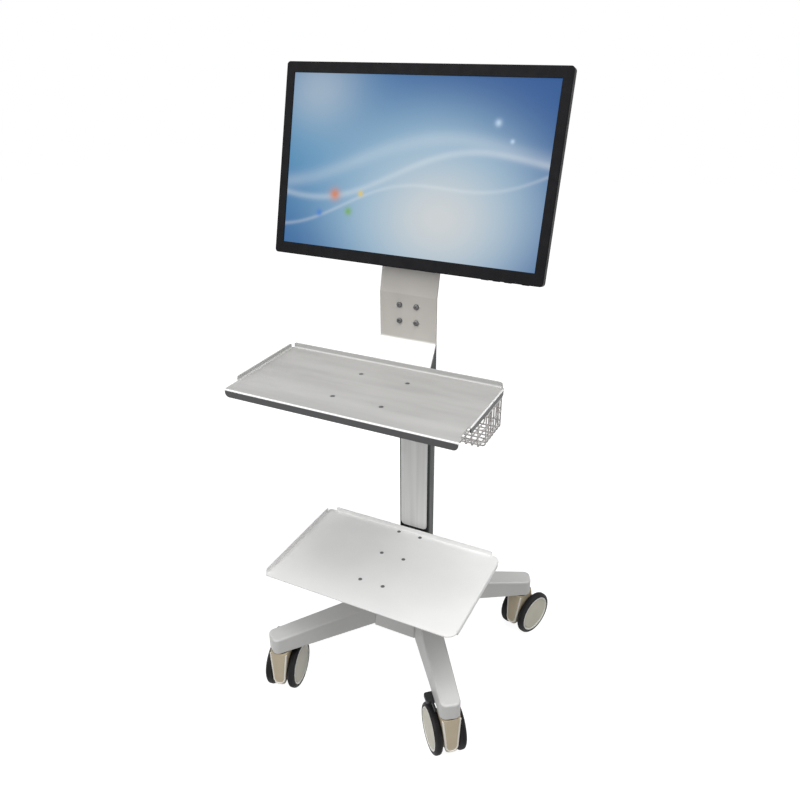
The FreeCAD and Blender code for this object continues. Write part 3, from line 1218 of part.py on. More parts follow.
def build_display():
    half_w = DISPLAY_WIDTH / 2
    half_h = DISPLAY_HEIGHT / 2
    bezel = slab(-half_w, half_w, -half_h, half_h, 0, BEZEL_DEPTH, BEZEL_CORNER_RADIUS)
    front_rim = [edge for edge in bezel.Edges if edge.BoundBox.YMax < 0.01]
    bezel = bezel.makeFillet(BEZEL_EDGE_RADIUS, front_rim)
    window = box(
        -SCREEN_WIDTH / 2, SCREEN_WIDTH / 2, -1, BEZEL_DEPTH,
        SCREEN_RAISE - SCREEN_HEIGHT / 2, SCREEN_RAISE + SCREEN_HEIGHT / 2
    )
    inner_w = half_w - BEZEL_WALL
    inner_h = half_h - BEZEL_WALL
    inner_radius = BEZEL_CORNER_RADIUS - BEZEL_WALL
    inside = slab(-inner_w, inner_w, -inner_h, inner_h, BEZEL_WALL, BEZEL_DEPTH + 1, inner_radius)
    tools = [window, inside]
    for x in key_places().values():
        wide = KEY_WIDTH / 2 + KEY_GAP
        y0 = KEY_Y - KEY_GAP
        y1 = KEY_Y + KEY_DEPTH + KEY_GAP
        tools.append(box(x - wide, x + wide, y0, y1, -half_h - 1, -half_h + BEZEL_WALL + 1))
    nodes["display_bezel"] = put_display(cut(bezel, tools))

    flange_bottom = -half_h + BEZEL_WALL + KEY_GAP
    for name, x in key_places().items():
        wide = KEY_WIDTH / 2
        lip = KEY_FLANGE
        top = flange_bottom + KEY_FLANGE_THICKNESS
        post = box(x - wide, x + wide, KEY_Y, KEY_Y + KEY_DEPTH, -half_h - KEY_STICK_OUT, top)
        lips = box(
            x - wide - lip, x + wide + lip, KEY_Y - KEY_GAP, KEY_Y + KEY_DEPTH + KEY_GAP, flange_bottom, top
        )
        nodes[name] = put_display(fuse([post, lips]))

    glass_w = SCREEN_WIDTH / 2 + PANEL_OVERLAP
    glass_low = SCREEN_RAISE - SCREEN_HEIGHT / 2 - PANEL_OVERLAP
    glass_high = SCREEN_RAISE + SCREEN_HEIGHT / 2 + PANEL_OVERLAP
    glass_back = BEZEL_WALL + GLASS
    nodes["screen_panel"] = put_display(box(-glass_w, glass_w, BEZEL_WALL, glass_back, glass_low, glass_high))

    pan_w = glass_w + CHASSIS_MARGIN
    pan_low = glass_low - CHASSIS_MARGIN
    pan_high = glass_high + CHASSIS_MARGIN
    pan = box(-pan_w, pan_w, glass_back, CHASSIS_BACK, pan_low, pan_high)
    thin = CHASSIS_SHEET
    inside_width = pan_w - thin - CHASSIS_MARGIN
    hollow_low = pan_low + thin + CHASSIS_MARGIN
    hollow_high = pan_high - thin - CHASSIS_MARGIN
    hollow = box(-inside_width, inside_width, glass_back - 1, CHASSIS_BACK - thin, hollow_low, hollow_high)
    nodes["panel_chassis"] = put_display(pan.cut(hollow))

    nodes["main_board"] = put_display(board(*MAIN_BOARD, MAIN_BOARD_PARTS))
    nodes["power_board"] = put_display(board(*POWER_BOARD, POWER_BOARD_PARTS))

    outer = rear_cover_solid(0.0, BEZEL_DEPTH, DISPLAY_DEPTH)
    hollow = rear_cover_solid(BEZEL_WALL, BEZEL_DEPTH - 0.01, DISPLAY_DEPTH - BEZEL_WALL)
    boss_front = DISPLAY_DEPTH - VESA_BOSS_LENGTH
    cover = fuse([outer.cut(hollow)] + vesa_rods(VESA_BOSS_RADIUS, boss_front, DISPLAY_DEPTH - BEZEL_WALL))
    tools = vesa_rods(M4_RADIUS + THREAD_CLEARANCE, boss_front - 1, DISPLAY_DEPTH + 1)
    vent_start = -VENT_PITCH * (VENT_COUNT - 1) / 2
    for index in range(VENT_COUNT):
        x = vent_start + VENT_PITCH * index
        low = VENT_RAISE - VENT_HEIGHT / 2
        tools.append(
            box(x - VENT_WIDTH / 2, x + VENT_WIDTH / 2, DISPLAY_DEPTH - 2 * BEZEL_WALL, DISPLAY_DEPTH + 1,
                low, low + VENT_HEIGHT)
        )
    inlet_y = (BEZEL_DEPTH + SHOULDER_DEPTH + DISPLAY_DEPTH - BEZEL_WALL) / 2
    gap = PANEL_SIDE_GAP
    for x, width, depth in ((INLET_X, INLET_WIDTH, INLET_DEPTH), (SOCKET_X, SOCKET_WIDTH, SOCKET_DEPTH)):
        tools.append(
            box(
                x - width / 2 - gap, x + width / 2 + gap,
                inlet_y - depth / 2 - gap, inlet_y + depth / 2 + gap,
                HOUSING_FOOT - 1, HOUSING_FOOT + BEZEL_WALL + 1,
            )
        )
    nodes["display_rear_cover"] = put_display(cut(cover, tools))

    rim = 1.2
    outside = HOUSING_FOOT - rim
    half_w = INLET_WIDTH / 2
    half_d = INLET_DEPTH / 2
    body = box(
        INLET_X - half_w, INLET_X + half_w, inlet_y - half_d, inlet_y + half_d,
        outside, HOUSING_FOOT + INLET_HEIGHT,
    )
    lip = box(
        INLET_X - half_w - INLET_FLANGE, INLET_X + half_w + INLET_FLANGE,
        inlet_y - half_d - 1.0, inlet_y + half_d + 1.0, outside, HOUSING_FOOT,
    )
    wall = 2.0
    cavity = box(
        INLET_X - half_w + wall, INLET_X + half_w - wall,
        inlet_y - half_d + wall, inlet_y + half_d - wall, outside - 1, outside + INLET_CAVITY,
    )
    inlet = fuse([body, lip]).cut(cavity)
    blades = []
    for x in (-7.0, 0.0, 7.0):
        blades.append(
            box(
                INLET_X + x - 1.0, INLET_X + x + 1.0, inlet_y - 2.0, inlet_y + 2.0,
                HOUSING_FOOT + 2.0, HOUSING_FOOT + INLET_CAVITY,
            )
        )
    nodes["power_inlet"] = put_display(fuse([inlet] + blades))

    half_w = SOCKET_WIDTH / 2
    half_d = SOCKET_DEPTH / 2
    body = box(
        SOCKET_X - half_w, SOCKET_X + half_w, inlet_y - half_d, inlet_y + half_d,
        outside, HOUSING_FOOT + SOCKET_HEIGHT,
    )
    lip = box(
        SOCKET_X - half_w - rim, SOCKET_X + half_w + rim,
        inlet_y - half_d - rim, inlet_y + half_d + rim, outside, HOUSING_FOOT,
    )
    shell = rounded_box(SOCKET_X - SOCKET_FACE_WIDTH / 2, SOCKET_X + SOCKET_FACE_WIDTH / 2,
                        inlet_y - SOCKET_FACE_DEPTH / 2, inlet_y + SOCKET_FACE_DEPTH / 2,
                        HOUSING_FOOT - rim - SOCKET_STICK_OUT, HOUSING_FOOT, 2.0)
    nodes["video_socket"] = put_display(fuse([body, lip, shell]))

    screws = []
    seat = DISPLAY_DEPTH + BRACKET_SHEET
    length = BRACKET_SHEET + VESA_BOSS_LENGTH - 2
    for x, z in grid(0.0, VESA_PITCH, 0.0, VESA_PITCH):
        screws.append(
            screw(V(x, seat, z), V(0, -1, 0), M4_HEAD_RADIUS, M4_HEAD_HEIGHT, M4_RADIUS, length)
        )
    nodes["vesa_screws"] = put_display(Part.makeCompound(screws))


# ---------------------------------------------------------------- the whole cart
build_base()
build_casters()
build_column()
build_post()
build_trays()
build_lower_bracket()
build_display_bracket()
build_basket()
build_display()

footprint = Part.makeCompound(list(nodes.values())).BoundBox
to_origin = V(-footprint.Center.x, -footprint.Center.y, 0)

os.makedirs("parts", exist_ok=True)
for name, shape in nodes.items():
    shape.translate(to_origin)
    shape.exportStep("parts/%s.step" % name)
print("nodes", len(nodes), "moved by", to_origin)
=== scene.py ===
"""Looks of the rolling display cart: materials, round-wire basket, caster wheels and lit screen."""
import json
import math

import bmesh
import bpy
from mathutils import Matrix, Vector


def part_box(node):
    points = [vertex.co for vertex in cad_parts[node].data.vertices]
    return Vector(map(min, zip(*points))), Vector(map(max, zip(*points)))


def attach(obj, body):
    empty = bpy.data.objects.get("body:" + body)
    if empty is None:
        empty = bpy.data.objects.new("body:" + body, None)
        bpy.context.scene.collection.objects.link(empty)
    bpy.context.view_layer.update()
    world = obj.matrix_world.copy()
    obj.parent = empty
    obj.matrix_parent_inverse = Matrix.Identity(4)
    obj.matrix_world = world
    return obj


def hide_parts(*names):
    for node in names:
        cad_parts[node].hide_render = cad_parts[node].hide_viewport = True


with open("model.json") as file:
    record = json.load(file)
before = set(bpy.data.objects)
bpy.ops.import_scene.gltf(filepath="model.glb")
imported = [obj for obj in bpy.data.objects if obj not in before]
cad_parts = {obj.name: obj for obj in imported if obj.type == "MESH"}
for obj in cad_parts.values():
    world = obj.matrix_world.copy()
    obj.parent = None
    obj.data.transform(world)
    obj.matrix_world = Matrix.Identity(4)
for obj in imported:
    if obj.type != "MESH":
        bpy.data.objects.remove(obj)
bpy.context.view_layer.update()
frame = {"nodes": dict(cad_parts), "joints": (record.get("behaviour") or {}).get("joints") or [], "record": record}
nodes = frame["nodes"]
joints = {joint["name"]: joint for joint in frame["joints"]}
CORNERS = ("front_right", "front_left", "rear_right", "rear_left")
UP = Vector((0.0, 0.0, 1.0))

# a point on the floor near the column's middle: the camera and the lamps are placed from it
CAP_FRONT_TO_AXIS = 0.0205
cap_low, cap_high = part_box("column_cap")
AXIS = Vector(((cap_low.x + cap_high.x) / 2, cap_low.y + CAP_FRONT_TO_AXIS, 0.0))


# ---------------------------------------------------------------- shader helpers
class Look:
    """A material being made. Its patterns use object coordinates, so they stay with the piece."""

    def __init__(self, name, base, roughness, metallic=0.0, specular=0.5):
        self.material = bpy.data.materials.new(name)
        self.material.use_nodes = True
        self.tree = self.material.node_tree
        self.tree.nodes.clear()
        self.output = self.add("ShaderNodeOutputMaterial")
        self.shader = self.add("ShaderNodeBsdfPrincipled")
        self.shader.inputs["Base Color"].default_value = (*base, 1.0)
        self.shader.inputs["Roughness"].default_value = roughness
        self.shader.inputs["Metallic"].default_value = metallic
        self.shader.inputs["Specular IOR Level"].default_value = specular
        self.link(self.shader.outputs["BSDF"], self.output.inputs["Surface"])
        self.place = self.add("ShaderNodeTexCoord").outputs["Object"]

    def add(self, kind):
        return self.tree.nodes.new(kind)

    def link(self, source, target):
        self.tree.links.new(source, target)

    def feed(self, target, value):
        if isinstance(value, bpy.types.NodeSocket):
            self.link(value, target)
        else:
            target.default_value = value

    def math(self, operation, first, second=0.0, third=0.0):
        node = self.add("ShaderNodeMath")
        node.operation = operation
        for socket, value in zip(node.inputs, (first, second, third)):
            self.feed(socket, value)
        return node.outputs[0]

    def stretched(self, scale):
        """Object coordinates, scaled differently along X, Y and Z."""
        node = self.add("ShaderNodeMapping")
        node.inputs["Scale"].default_value = scale
        self.link(self.place, node.inputs["Vector"])
        return node.outputs["Vector"]

    def noise(self, scale, detail=3.0, place=None):
        node = self.add("ShaderNodeTexNoise")
        node.inputs["Scale"].default_value = scale
        node.inputs["Detail"].default_value = detail
        self.link(place or self.place, node.inputs["Vector"])
        return node.outputs["Fac"]

    def height(self):
        """Height above the floor, in metres."""
        split = self.add("ShaderNodeSeparateXYZ")
        self.link(self.place, split.inputs["Vector"])
        return split.outputs["Z"]

    def spread(self, value, low, high, start=0.3, end=0.7):
        """A value between start and end, spread over low to high."""
        node = self.add("ShaderNodeMapRange")
        node.inputs["From Min"].default_value = start
        node.inputs["From Max"].default_value = end
        node.inputs["To Min"].default_value = low
        node.inputs["To Max"].default_value = high
        self.link(value, node.inputs["Value"])
        return node.outputs["Result"]

    def rises(self, value, level, band):
        """0 below the level and 1 above it, changing within the band of offsets round it."""
        return self.spread(value, 0.0, 1.0, level + band[0], level + band[1])

    def mix(self, share, first, second):
        node = self.add("ShaderNodeMix")
        node.data_type = "RGBA"
        self.feed(node.inputs[0], share)
        for socket, value in ((node.inputs[6], first), (node.inputs[7], second)):
            self.feed(socket, value if isinstance(value, bpy.types.NodeSocket) else (*value, 1.0))
        return node.outputs[2]

    def tint(self, base, amount, scale):
        """The base colour with soft cloudy variation of plus and minus amount."""
        darker = tuple(channel * (1 - amount) for channel in base)
        lighter = tuple(min(1.0, channel * (1 + amount)) for channel in base)
        return self.mix(self.spread(self.noise(scale, 4.0), 0.0, 1.0), darker, lighter)

    def colour(self, value):
        self.link(value, self.shader.inputs["Base Color"])

    def roughness(self, low, high, scale, place=None):
        uneven = self.spread(self.noise(scale, 4.0, place), low, high)
        self.link(uneven, self.shader.inputs["Roughness"])

    def relief(self, height, depth, edge=0.0):
        """Bump of that depth in metres, over edges softened by a rounding of that radius."""
        bump = self.add("ShaderNodeBump")
        bump.inputs["Strength"].default_value = 1.0
        bump.inputs["Distance"].default_value = depth
        self.link(height, bump.inputs["Height"])
        if edge:
            rounding = self.add("ShaderNodeBevel")
            rounding.samples = 4
            rounding.inputs["Radius"].default_value = edge
            self.link(rounding.outputs["Normal"], bump.inputs["Normal"])
        self.link(bump.outputs["Normal"], self.shader.inputs["Normal"])


def powder_coat(name, base, roughness=0.45, edge=0.0008, specular=0.4):
    """Sprayed paint: a fine orange peel, faint clouding, slightly uneven gloss."""
    look = Look(name, base, roughness, specular=specular)
    look.colour(look.tint(base, 0.03, 9.0))
    look.roughness(roughness - 0.06, roughness + 0.08, 35.0)
    look.relief(look.noise(1100.0, 2.0), 0.00005, edge)
    return look


def moulded(name, base, roughness=0.4, grain=0.00004, edge=0.0006, specular=0.45):
    """Injection-moulded plastic: spark-eroded grain and a little dust in the colour."""
    look = Look(name, base, roughness, specular=specular)
    look.colour(look.tint(base, 0.05, 22.0))
    look.roughness(roughness - 0.07, roughness + 0.07, 60.0)
    look.relief(look.noise(2600.0, 2.0), grain, edge)
    return look


def metal(name, base, roughness=0.3, streaks=(1.0, 1.0, 1.0), depth=0.00002, edge=0.0004):
    """Bare or plated metal: drawn streaks in roughness and relief."""
    look = Look(name, base, roughness, metallic=1.0)
    look.colour(look.tint(base, 0.05, 30.0))
    place = look.stretched(streaks)
    look.roughness(roughness - 0.08, roughness + 0.1, 420.0, place)
    look.relief(look.noise(900.0, 3.0, place), depth, edge)
    return look


def rubber(name, base):
    look = Look(name, base, 0.62, specular=0.22)
    look.colour(look.tint(base, 0.25, 14.0))
    look.roughness(0.5, 0.75, 45.0)
    look.relief(look.noise(1500.0, 3.0), 0.00008)
    return look


def scaled(colour, factor):
    """A colour made darker or lighter, never past white."""
    return tuple(min(1.0, channel * factor) for channel in colour)


# where the upper tray's painted light and shade change, as offsets in metres from its top face: a painted
# highlight line along the bend, painted light on the upright flanges and painted shade on the turned-down edges
TURNED_DOWN_SHADE = (-0.0034, -0.0024)
BEND_HIGHLIGHT = (-0.0010, -0.0002)
FLANGE_FOOT = (0.0002, 0.0008)
FLANGE_FACE = (0.0026, 0.0036)
# painted highlight at the foot of the upright flanges, painted light on their faces, and a painted highlight along
# the bend
FOOT_HIGHLIGHT_COLOUR = (0.62, 0.62, 0.61)
LIT_FLANGE_COLOUR = (0.42, 0.42, 0.41)
BEND_HIGHLIGHT_COLOUR = (0.86, 0.86, 0.86)


def tray_paint_with_painted_light(name, base, painted_shade_colour, top):
    """Satin tray paint: long faint streaks, a painted highlight line along the bend, painted light on the upright
    flanges and painted shade on the turned-down edges.
    """
    look = powder_coat(name, base, roughness=0.40, specular=0.22)
    height = look.height()
    bend = look.math("SUBTRACT", 1.0, look.rises(height, top, BEND_HIGHLIGHT))
    streaks = look.spread(look.noise(1.0, 5.0, look.stretched((3.5, 26.0, 26.0))), 0.0, 1.0)
    flat = look.mix(streaks, scaled(base, 0.86), scaled(base, 1.08))
    # painted light on the upright flanges, a painted highlight along the bend, then painted shade on the
    # turned-down edges
    flat = look.mix(look.rises(height, top, FLANGE_FOOT), flat, FOOT_HIGHLIGHT_COLOUR)
    flat = look.mix(look.rises(height, top, FLANGE_FACE), flat, LIT_FLANGE_COLOUR)
    flat = look.mix(bend, flat, BEND_HIGHLIGHT_COLOUR)
    look.colour(look.mix(look.rises(height, top, TURNED_DOWN_SHADE), painted_shade_colour, flat))
    return look


def brushed_panel(name, base):
    """Satin panel with fine streaks along its height."""
    look = powder_coat(name, base, 0.38)
    streaks = look.spread(look.noise(1.0, 6.0, look.stretched((90.0, 90.0, 2.5))), 0.0, 1.0)
    look.colour(look.mix(streaks, scaled(base, 0.88), scaled(base, 1.06)))
    return look


# where the painted highlight on the neck's sloping foot starts, just under its fold, as offsets in metres from
# that height
SLOPE_HIGHLIGHT_BAND = (-0.0025, 0.0)


def neck_paint_with_slope_highlight(name, base, slope_highlight_colour, level):
    """Satin paint of the neck, with a painted highlight making the sloping part below that height paler."""
    look = powder_coat(name, base, 0.45)
    above = look.rises(look.height(), level, SLOPE_HIGHLIGHT_BAND)
    # the sloping foot below the fold takes the painted highlight colour
    look.colour(look.mix(above, slope_highlight_colour, look.tint(base, 0.04, 12.0)))
    return look


# the screen's wash of colours, its ribbons and its drops: places and sizes in screen widths
DEEP_BLUE = (0.026, 0.100, 0.300)
MIDDLE_BLUE = (0.100, 0.290, 0.500)
HAZE = (0.270, 0.470, 0.640)
PALE = (0.630, 0.665, 0.680)
RIBBON_COLOUR = (0.80, 0.86, 0.90)
SCREEN_STRENGTH = 0.92
WASHES = (  # across, up, width, height, level inside, share, colour
    (-0.40, 0.10, 0.32, 0.34, False, 1.0, MIDDLE_BLUE),
    (0.08, -0.12, 0.43, 0.34, True, 1.0, HAZE),
    (0.13, -0.16, 0.25, 0.20, False, 1.0, PALE),
    # painted glare reflection on the glass at the upper left
    (-0.38, 0.24, 0.17, 0.14, False, 0.45, PALE),
)
RIBBONS = (  # rise, slope, swing, rate, phase, width, share
    (-0.02, 0.16, 0.050, 6.5, 0.4, 0.012, 0.30),
    (0.03, 0.10, 0.060, 5.2, 1.1, 0.026, 0.22),
    (-0.09, 0.22, 0.035, 8.0, 2.0, 0.007, 0.25),
)
DROP_SHARE = 0.85
DROPS = (  # across, up, size, colour
    (-0.285, -0.110, 0.020, (0.70, 0.20, 0.05)),
    (-0.225, -0.165, 0.014, (0.18, 0.42, 0.07)),
    (-0.345, -0.180, 0.012, (0.06, 0.22, 0.62)),
    (-0.180, -0.100, 0.010, (0.80, 0.58, 0.08)),
    (0.300, 0.160, 0.011, (0.55, 0.72, 0.90)),
    (0.355, 0.105, 0.007, (0.55, 0.72, 0.90)),
)


def screen_look(name, centre, across, upward, width):
    """Lit desktop picture: a blue to pale wash with a painted glare reflection at its upper left, soft ribbons of
    light and a few coloured drops.
    """
    look = Look(name, (0.008, 0.010, 0.014), 0.32, specular=0.05)
    relative = look.add("ShaderNodeVectorMath")
    relative.operation = "SUBTRACT"
    look.link(look.place, relative.inputs[0])
    relative.inputs[1].default_value = centre

    def along(direction, size):
        dot = look.add("ShaderNodeVectorMath")
        dot.operation = "DOT_PRODUCT"
        look.link(relative.outputs["Vector"], dot.inputs[0])
        dot.inputs[1].default_value = direction
        return look.math("DIVIDE", dot.outputs["Value"], size)

    u = along(across, width)
    v = along(upward, width)

    def glow(x, y, wide, tall, plateau=False):
        """A soft light at (x, y) from the screen's middle, level inside where it is a plateau."""
        dx = look.math("DIVIDE", look.math("SUBTRACT", u, x), wide)
        dy = look.math("DIVIDE", look.math("SUBTRACT", v, y), tall)
        square = look.math("ADD", look.math("MULTIPLY", dx, dx), look.math("MULTIPLY", dy, dy))
        if plateau:
            square = look.math("MULTIPLY", square, square)
        return look.math("EXPONENT", look.math("MULTIPLY", square, -1.0))

    def ribbon(rise, slope, swing, rate, phase, wide):
        """A thin curved band of light."""
        wave = look.math("SINE", look.math("MULTIPLY_ADD", u, rate, phase))
        line = look.math("MULTIPLY_ADD", u, slope, rise)
        line = look.math("MULTIPLY_ADD", wave, swing, line)
        gap = look.math("DIVIDE", look.math("SUBTRACT", v, line), wide)
        return look.math("EXPONENT", look.math("MULTIPLY", look.math("MULTIPLY", gap, gap), -1.0))

    picture = DEEP_BLUE
    for *shape, share, paint in WASHES:
        picture = look.mix(look.math("MULTIPLY", glow(*shape), share), picture, paint)
    ribbons = 0.0
    for *shape, share in RIBBONS:
        ribbons = look.math("ADD", ribbons, look.math("MULTIPLY", ribbon(*shape), share))
    cloud = look.spread(look.noise(9.0, 4.0), 0.75, 1.1)
    picture = look.mix(look.math("MULTIPLY", ribbons, cloud), picture, RIBBON_COLOUR)
    for x, y, size, paint in DROPS:
        drop = look.math("MULTIPLY", glow(x, y, size, size), DROP_SHARE)
        picture = look.mix(drop, picture, paint)
    look.link(picture, look.shader.inputs["Emission Color"])
    look.shader.inputs["Emission Strength"].default_value = SCREEN_STRENGTH
    look.relief(look.noise(3000.0, 1.0), 0.000004)
    return look


# ---------------------------------------------------------------- materials by slot
DISPLAY_TILT = math.radians(14.27)
FLANGE_RISE = 0.010     # the upper tray's flanges stand this far above its top face
NECK_FOLD = 0.7640      # height of the fold between the neck's plate and its sloping foot
screen_low, screen_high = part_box("screen_panel")
SCREEN_MIDDLE = (screen_low + screen_high) / 2
SCREEN_WIDTH = screen_high.x - screen_low.x
ACROSS = Vector((1.0, 0.0, 0.0))
UPWARD = Vector((0.0, math.sin(DISPLAY_TILT), math.cos(DISPLAY_TILT)))
UPPER_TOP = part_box("upper_tray")[1].z - FLANGE_RISE

# each builder is called with the slot's name first; the CAD nodes follow by their material slot
BUILDERS = {
    "base_paint": (powder_coat, (0.61, 0.61, 0.60), 0.42),
    "column_aluminium": (metal, (0.034, 0.037, 0.036), 0.42, (1.0, 1.0, 0.03)),
    "panel_paint": (brushed_panel, (0.71, 0.71, 0.70)),
    # the upper tray's second colour is the painted shade of its turned-down edges
    "upper_tray_paint": (tray_paint_with_painted_light, (0.365, 0.36, 0.35), (0.085, 0.085, 0.088), UPPER_TOP),
    "lower_tray_paint": (powder_coat, (0.86, 0.86, 0.85), 0.40),
    # the neck's second colour is the painted highlight of its sloping foot
    "bracket_paint": (neck_paint_with_slope_highlight, (0.49, 0.47, 0.44), (0.90, 0.90, 0.90), NECK_FOLD),
    "basket_coating": (powder_coat, (0.56, 0.54, 0.53), 0.35, 0.0),
    "tyre": (rubber, (0.010, 0.009, 0.010)),
    "wheel_plastic": (moulded, (0.57, 0.54, 0.43), 0.36),
    "caster_plastic": (moulded, (0.52, 0.44, 0.31), 0.38),
    "dark_plastic": (moulded, (0.022, 0.022, 0.024), 0.45),
    "plated_steel": (metal, (0.58, 0.58, 0.57), 0.28),
    "dark_steel": (metal, (0.16, 0.16, 0.16), 0.40),
    "display_plastic": (moulded, (0.005, 0.005, 0.006), 0.42, 0.00002, 0.0010, 0.06),
    "screen": (screen_look, SCREEN_MIDDLE, ACROSS, UPWARD, SCREEN_WIDTH),
    "chassis_steel": (metal, (0.55, 0.55, 0.54), 0.35),
    "circuit_board": (moulded, (0.02, 0.13, 0.05), 0.35),
}
LOOKS = {slot: build(slot, *values) for slot, (build, *values) in BUILDERS.items()}
OWN_LOOKS = {
    "post_screws": metal("neck_screw_steel", (0.15, 0.15, 0.15), 0.30),
    "display_rear_cover": moulded(
        "rear_cover_plastic", (0.016, 0.016, 0.018), 0.46, edge=0.0010, specular=0.4
    ),
}
RIM_LOOK = moulded("wheel_rim_plastic", (0.90, 0.89, 0.82), 0.30)
# lighter copy of the caster plastic: painted highlight along the housing's rim
RIM_HIGHLIGHT_LOOK = moulded("caster_rim_highlight", (0.80, 0.77, 0.70), 0.34)

slot_of = {part["node"]: part["material_slot"] for part in frame["record"]["subparts"]}
for name, piece in nodes.items():
    piece.data.materials.clear()
    look = OWN_LOOKS.get(name) or LOOKS[slot_of[name]]
    piece.data.materials.append(look.material)


def dress(piece, slot, body, *replaced, look=None):
    """Give a new piece its material, body and the CAD nodes it stands for."""
    piece.data.materials.append((look or LOOKS[slot]).material)
    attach(piece, body)
    if replaced:
        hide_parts(*replaced)


def new_piece(name, mesh):
    piece = bpy.data.objects.new(name, mesh)
    bpy.context.scene.collection.objects.link(piece)
    return piece


# ---------------------------------------------------------------- caster wheels
SEGMENTS = 128
SMOOTH_ANGLE = math.radians(38)
MERGE_DISTANCE = 1e-6


def lathe(name, profile, place):
    """Closed outline of (along the axle, radius) points, turned about the axle."""
    form = bmesh.new()
    rings = []
    for step in range(SEGMENTS):
        angle = 2 * math.pi * step / SEGMENTS
        ring = []
        for along, radius in profile:
            point = Vector((along, radius * math.cos(angle), radius * math.sin(angle)))
            ring.append(form.verts.new(place @ point))
        rings.append(ring)
    count = len(profile)
    for step in range(SEGMENTS):
        here = rings[step]
        following = rings[(step + 1) % SEGMENTS]
        for index in range(count):
            other = (index + 1) % count
            form.faces.new((here[index], here[other], following[other], following[index]))
    bmesh.ops.remove_doubles(form, verts=form.verts, dist=MERGE_DISTANCE)
    bmesh.ops.recalc_face_normals(form, faces=form.faces)
    mesh = bpy.data.meshes.new(name)
    form.to_mesh(mesh)
    form.free()
    mesh.shade_smooth()
    mesh.set_sharp_from_angle(angle=SMOOTH_ANGLE)
    return new_piece(name, mesh)


def arc(centre, radius, start, end, steps):
    """Points on an arc in the (along, radius) plane, angles in degrees."""
    points = []
    for step in range(steps + 1):
        angle = math.radians(start + (end - start) * step / steps)
        points.append((centre[0] + radius * math.cos(angle), centre[1] + radius * math.sin(angle)))
    return points


TYRE_RADIUS = 0.050
TYRE_BORE = 0.04162
HALF_WIDTH = 0.008
SHOULDER = 0.0062
GROOVE = 0.0007
GROOVES = (-0.0022, 0.0, 0.0022)    # places across the tread
AXLE_BORE = 0.00505
DISC_RADIUS = TYRE_BORE - 0.00005   # the disc stops just inside the tyre
RIM_INNER = 0.0370
RIM_SEAT = HALF_WIDTH - 0.0032      # the rim ring sits in this step of the disc's outer face
CAP_SEAT = HALF_WIDTH - 0.0030


def tyre_profile():
    """Rounded shoulders, a bead step on each side and three fine grooves around the tread."""
    half = HALF_WIDTH
    bead = [
        (half - 0.0012, TYRE_BORE),
        (half - 0.0004, TYRE_BORE + 0.0008),
        (half, TYRE_BORE + 0.0020),
    ]
    points = [(-along, radius) for along, radius in bead]
    points += arc((-half + SHOULDER, TYRE_RADIUS - SHOULDER), SHOULDER, 180, 95, 8)
    for middle in GROOVES:
        points += [
            (middle - 0.0004, TYRE_RADIUS),
            (middle - 0.0002, TYRE_RADIUS - GROOVE),
            (middle + 0.0002, TYRE_RADIUS - GROOVE),
            (middle + 0.0004, TYRE_RADIUS),
        ]
    points += arc((half - SHOULDER, TYRE_RADIUS - SHOULDER), SHOULDER, 85, 0, 8)
    return points + bead[::-1]


def wheel_profile():
    """Disc with a step for its rim ring outside, a shallow dish, and a stepped inner face."""
    half = HALF_WIDTH
    return [
        (-half, AXLE_BORE),
        (-half, 0.0125),
        (-half + 0.0035, 0.0135),
        (-half + 0.0035, 0.0340),
        (-half + 0.0008, 0.0350),
        (-half, 0.0356),
        (-half, DISC_RADIUS - 0.0006),
        (-half + 0.0006, DISC_RADIUS),
        (RIM_SEAT, DISC_RADIUS),
        (RIM_SEAT, RIM_INNER),
        (half - 0.0016, RIM_INNER),
        (half - 0.0014, 0.0240),
        (half - 0.0011, 0.0120),
        (half - 0.0010, 0.0060),
        (half - 0.0010, 0.0),
        (CAP_SEAT, 0.0),
        (CAP_SEAT, AXLE_BORE),
    ]


def rim_profile():
    """Lighter rounded ring around the disc's outer face."""
    outer = HALF_WIDTH - 0.0014
    inner = HALF_WIDTH - 0.0010
    points = [(RIM_SEAT, RIM_INNER + 0.0001), (RIM_SEAT, DISC_RADIUS), (outer, DISC_RADIUS)]
    points += arc((outer, DISC_RADIUS - 0.0014), 0.0014, 90, 40, 4)
    points += arc((inner, RIM_INNER + 0.0012), 0.0010, 60, 170, 5)
    return points


def wheel_frame(joint, sign):
    """Rotation and place of a wheel: local X runs outward along the axle."""
    outward = Vector(joint["axis"]).normalized() * sign
    sideways = UP.cross(outward).normalized()
    turn = Matrix((outward, sideways, UP)).transposed().to_4x4()
    return Matrix.Translation(Vector(joint["pos_m"])) @ turn


def twin_wheels(corner):
    """Tyre, disc and rim ring of both wheels of one caster."""
    for side, sign in (("left", -1), ("right", 1)):
        stem = corner + "_" + side
        place = wheel_frame(joints[stem + "_wheel_spin"], sign)
        body = stem + "_wheel_body"
        tread = lathe(stem + "_tyre_tread", tyre_profile(), place)
        dress(tread, "tyre", body, stem + "_tyre")
        face = lathe(stem + "_wheel_face", wheel_profile(), place)
        dress(face, "wheel_plastic", body, stem + "_wheel")
        ring = lathe(stem + "_wheel_rim", rim_profile(), place)
        dress(ring, "wheel_plastic", body, stem + "_wheel", look=RIM_LOOK)


for corner in CORNERS:
    twin_wheels(corner)


# ---------------------------------------------------------------- wire basket
WIRE = 0.0035
ROUND_WIRE = WIRE * 0.93    # the round wires are a little thinner than the solid's square bars
RIM_WIRE = 0.0050
WIRE_PITCH = 0.0135
WIRE_BEND = 0.007
CORNER = 0.012
LOWEST_RING = 0.012         # first level wire above the bottom
ARC_STEPS = 8


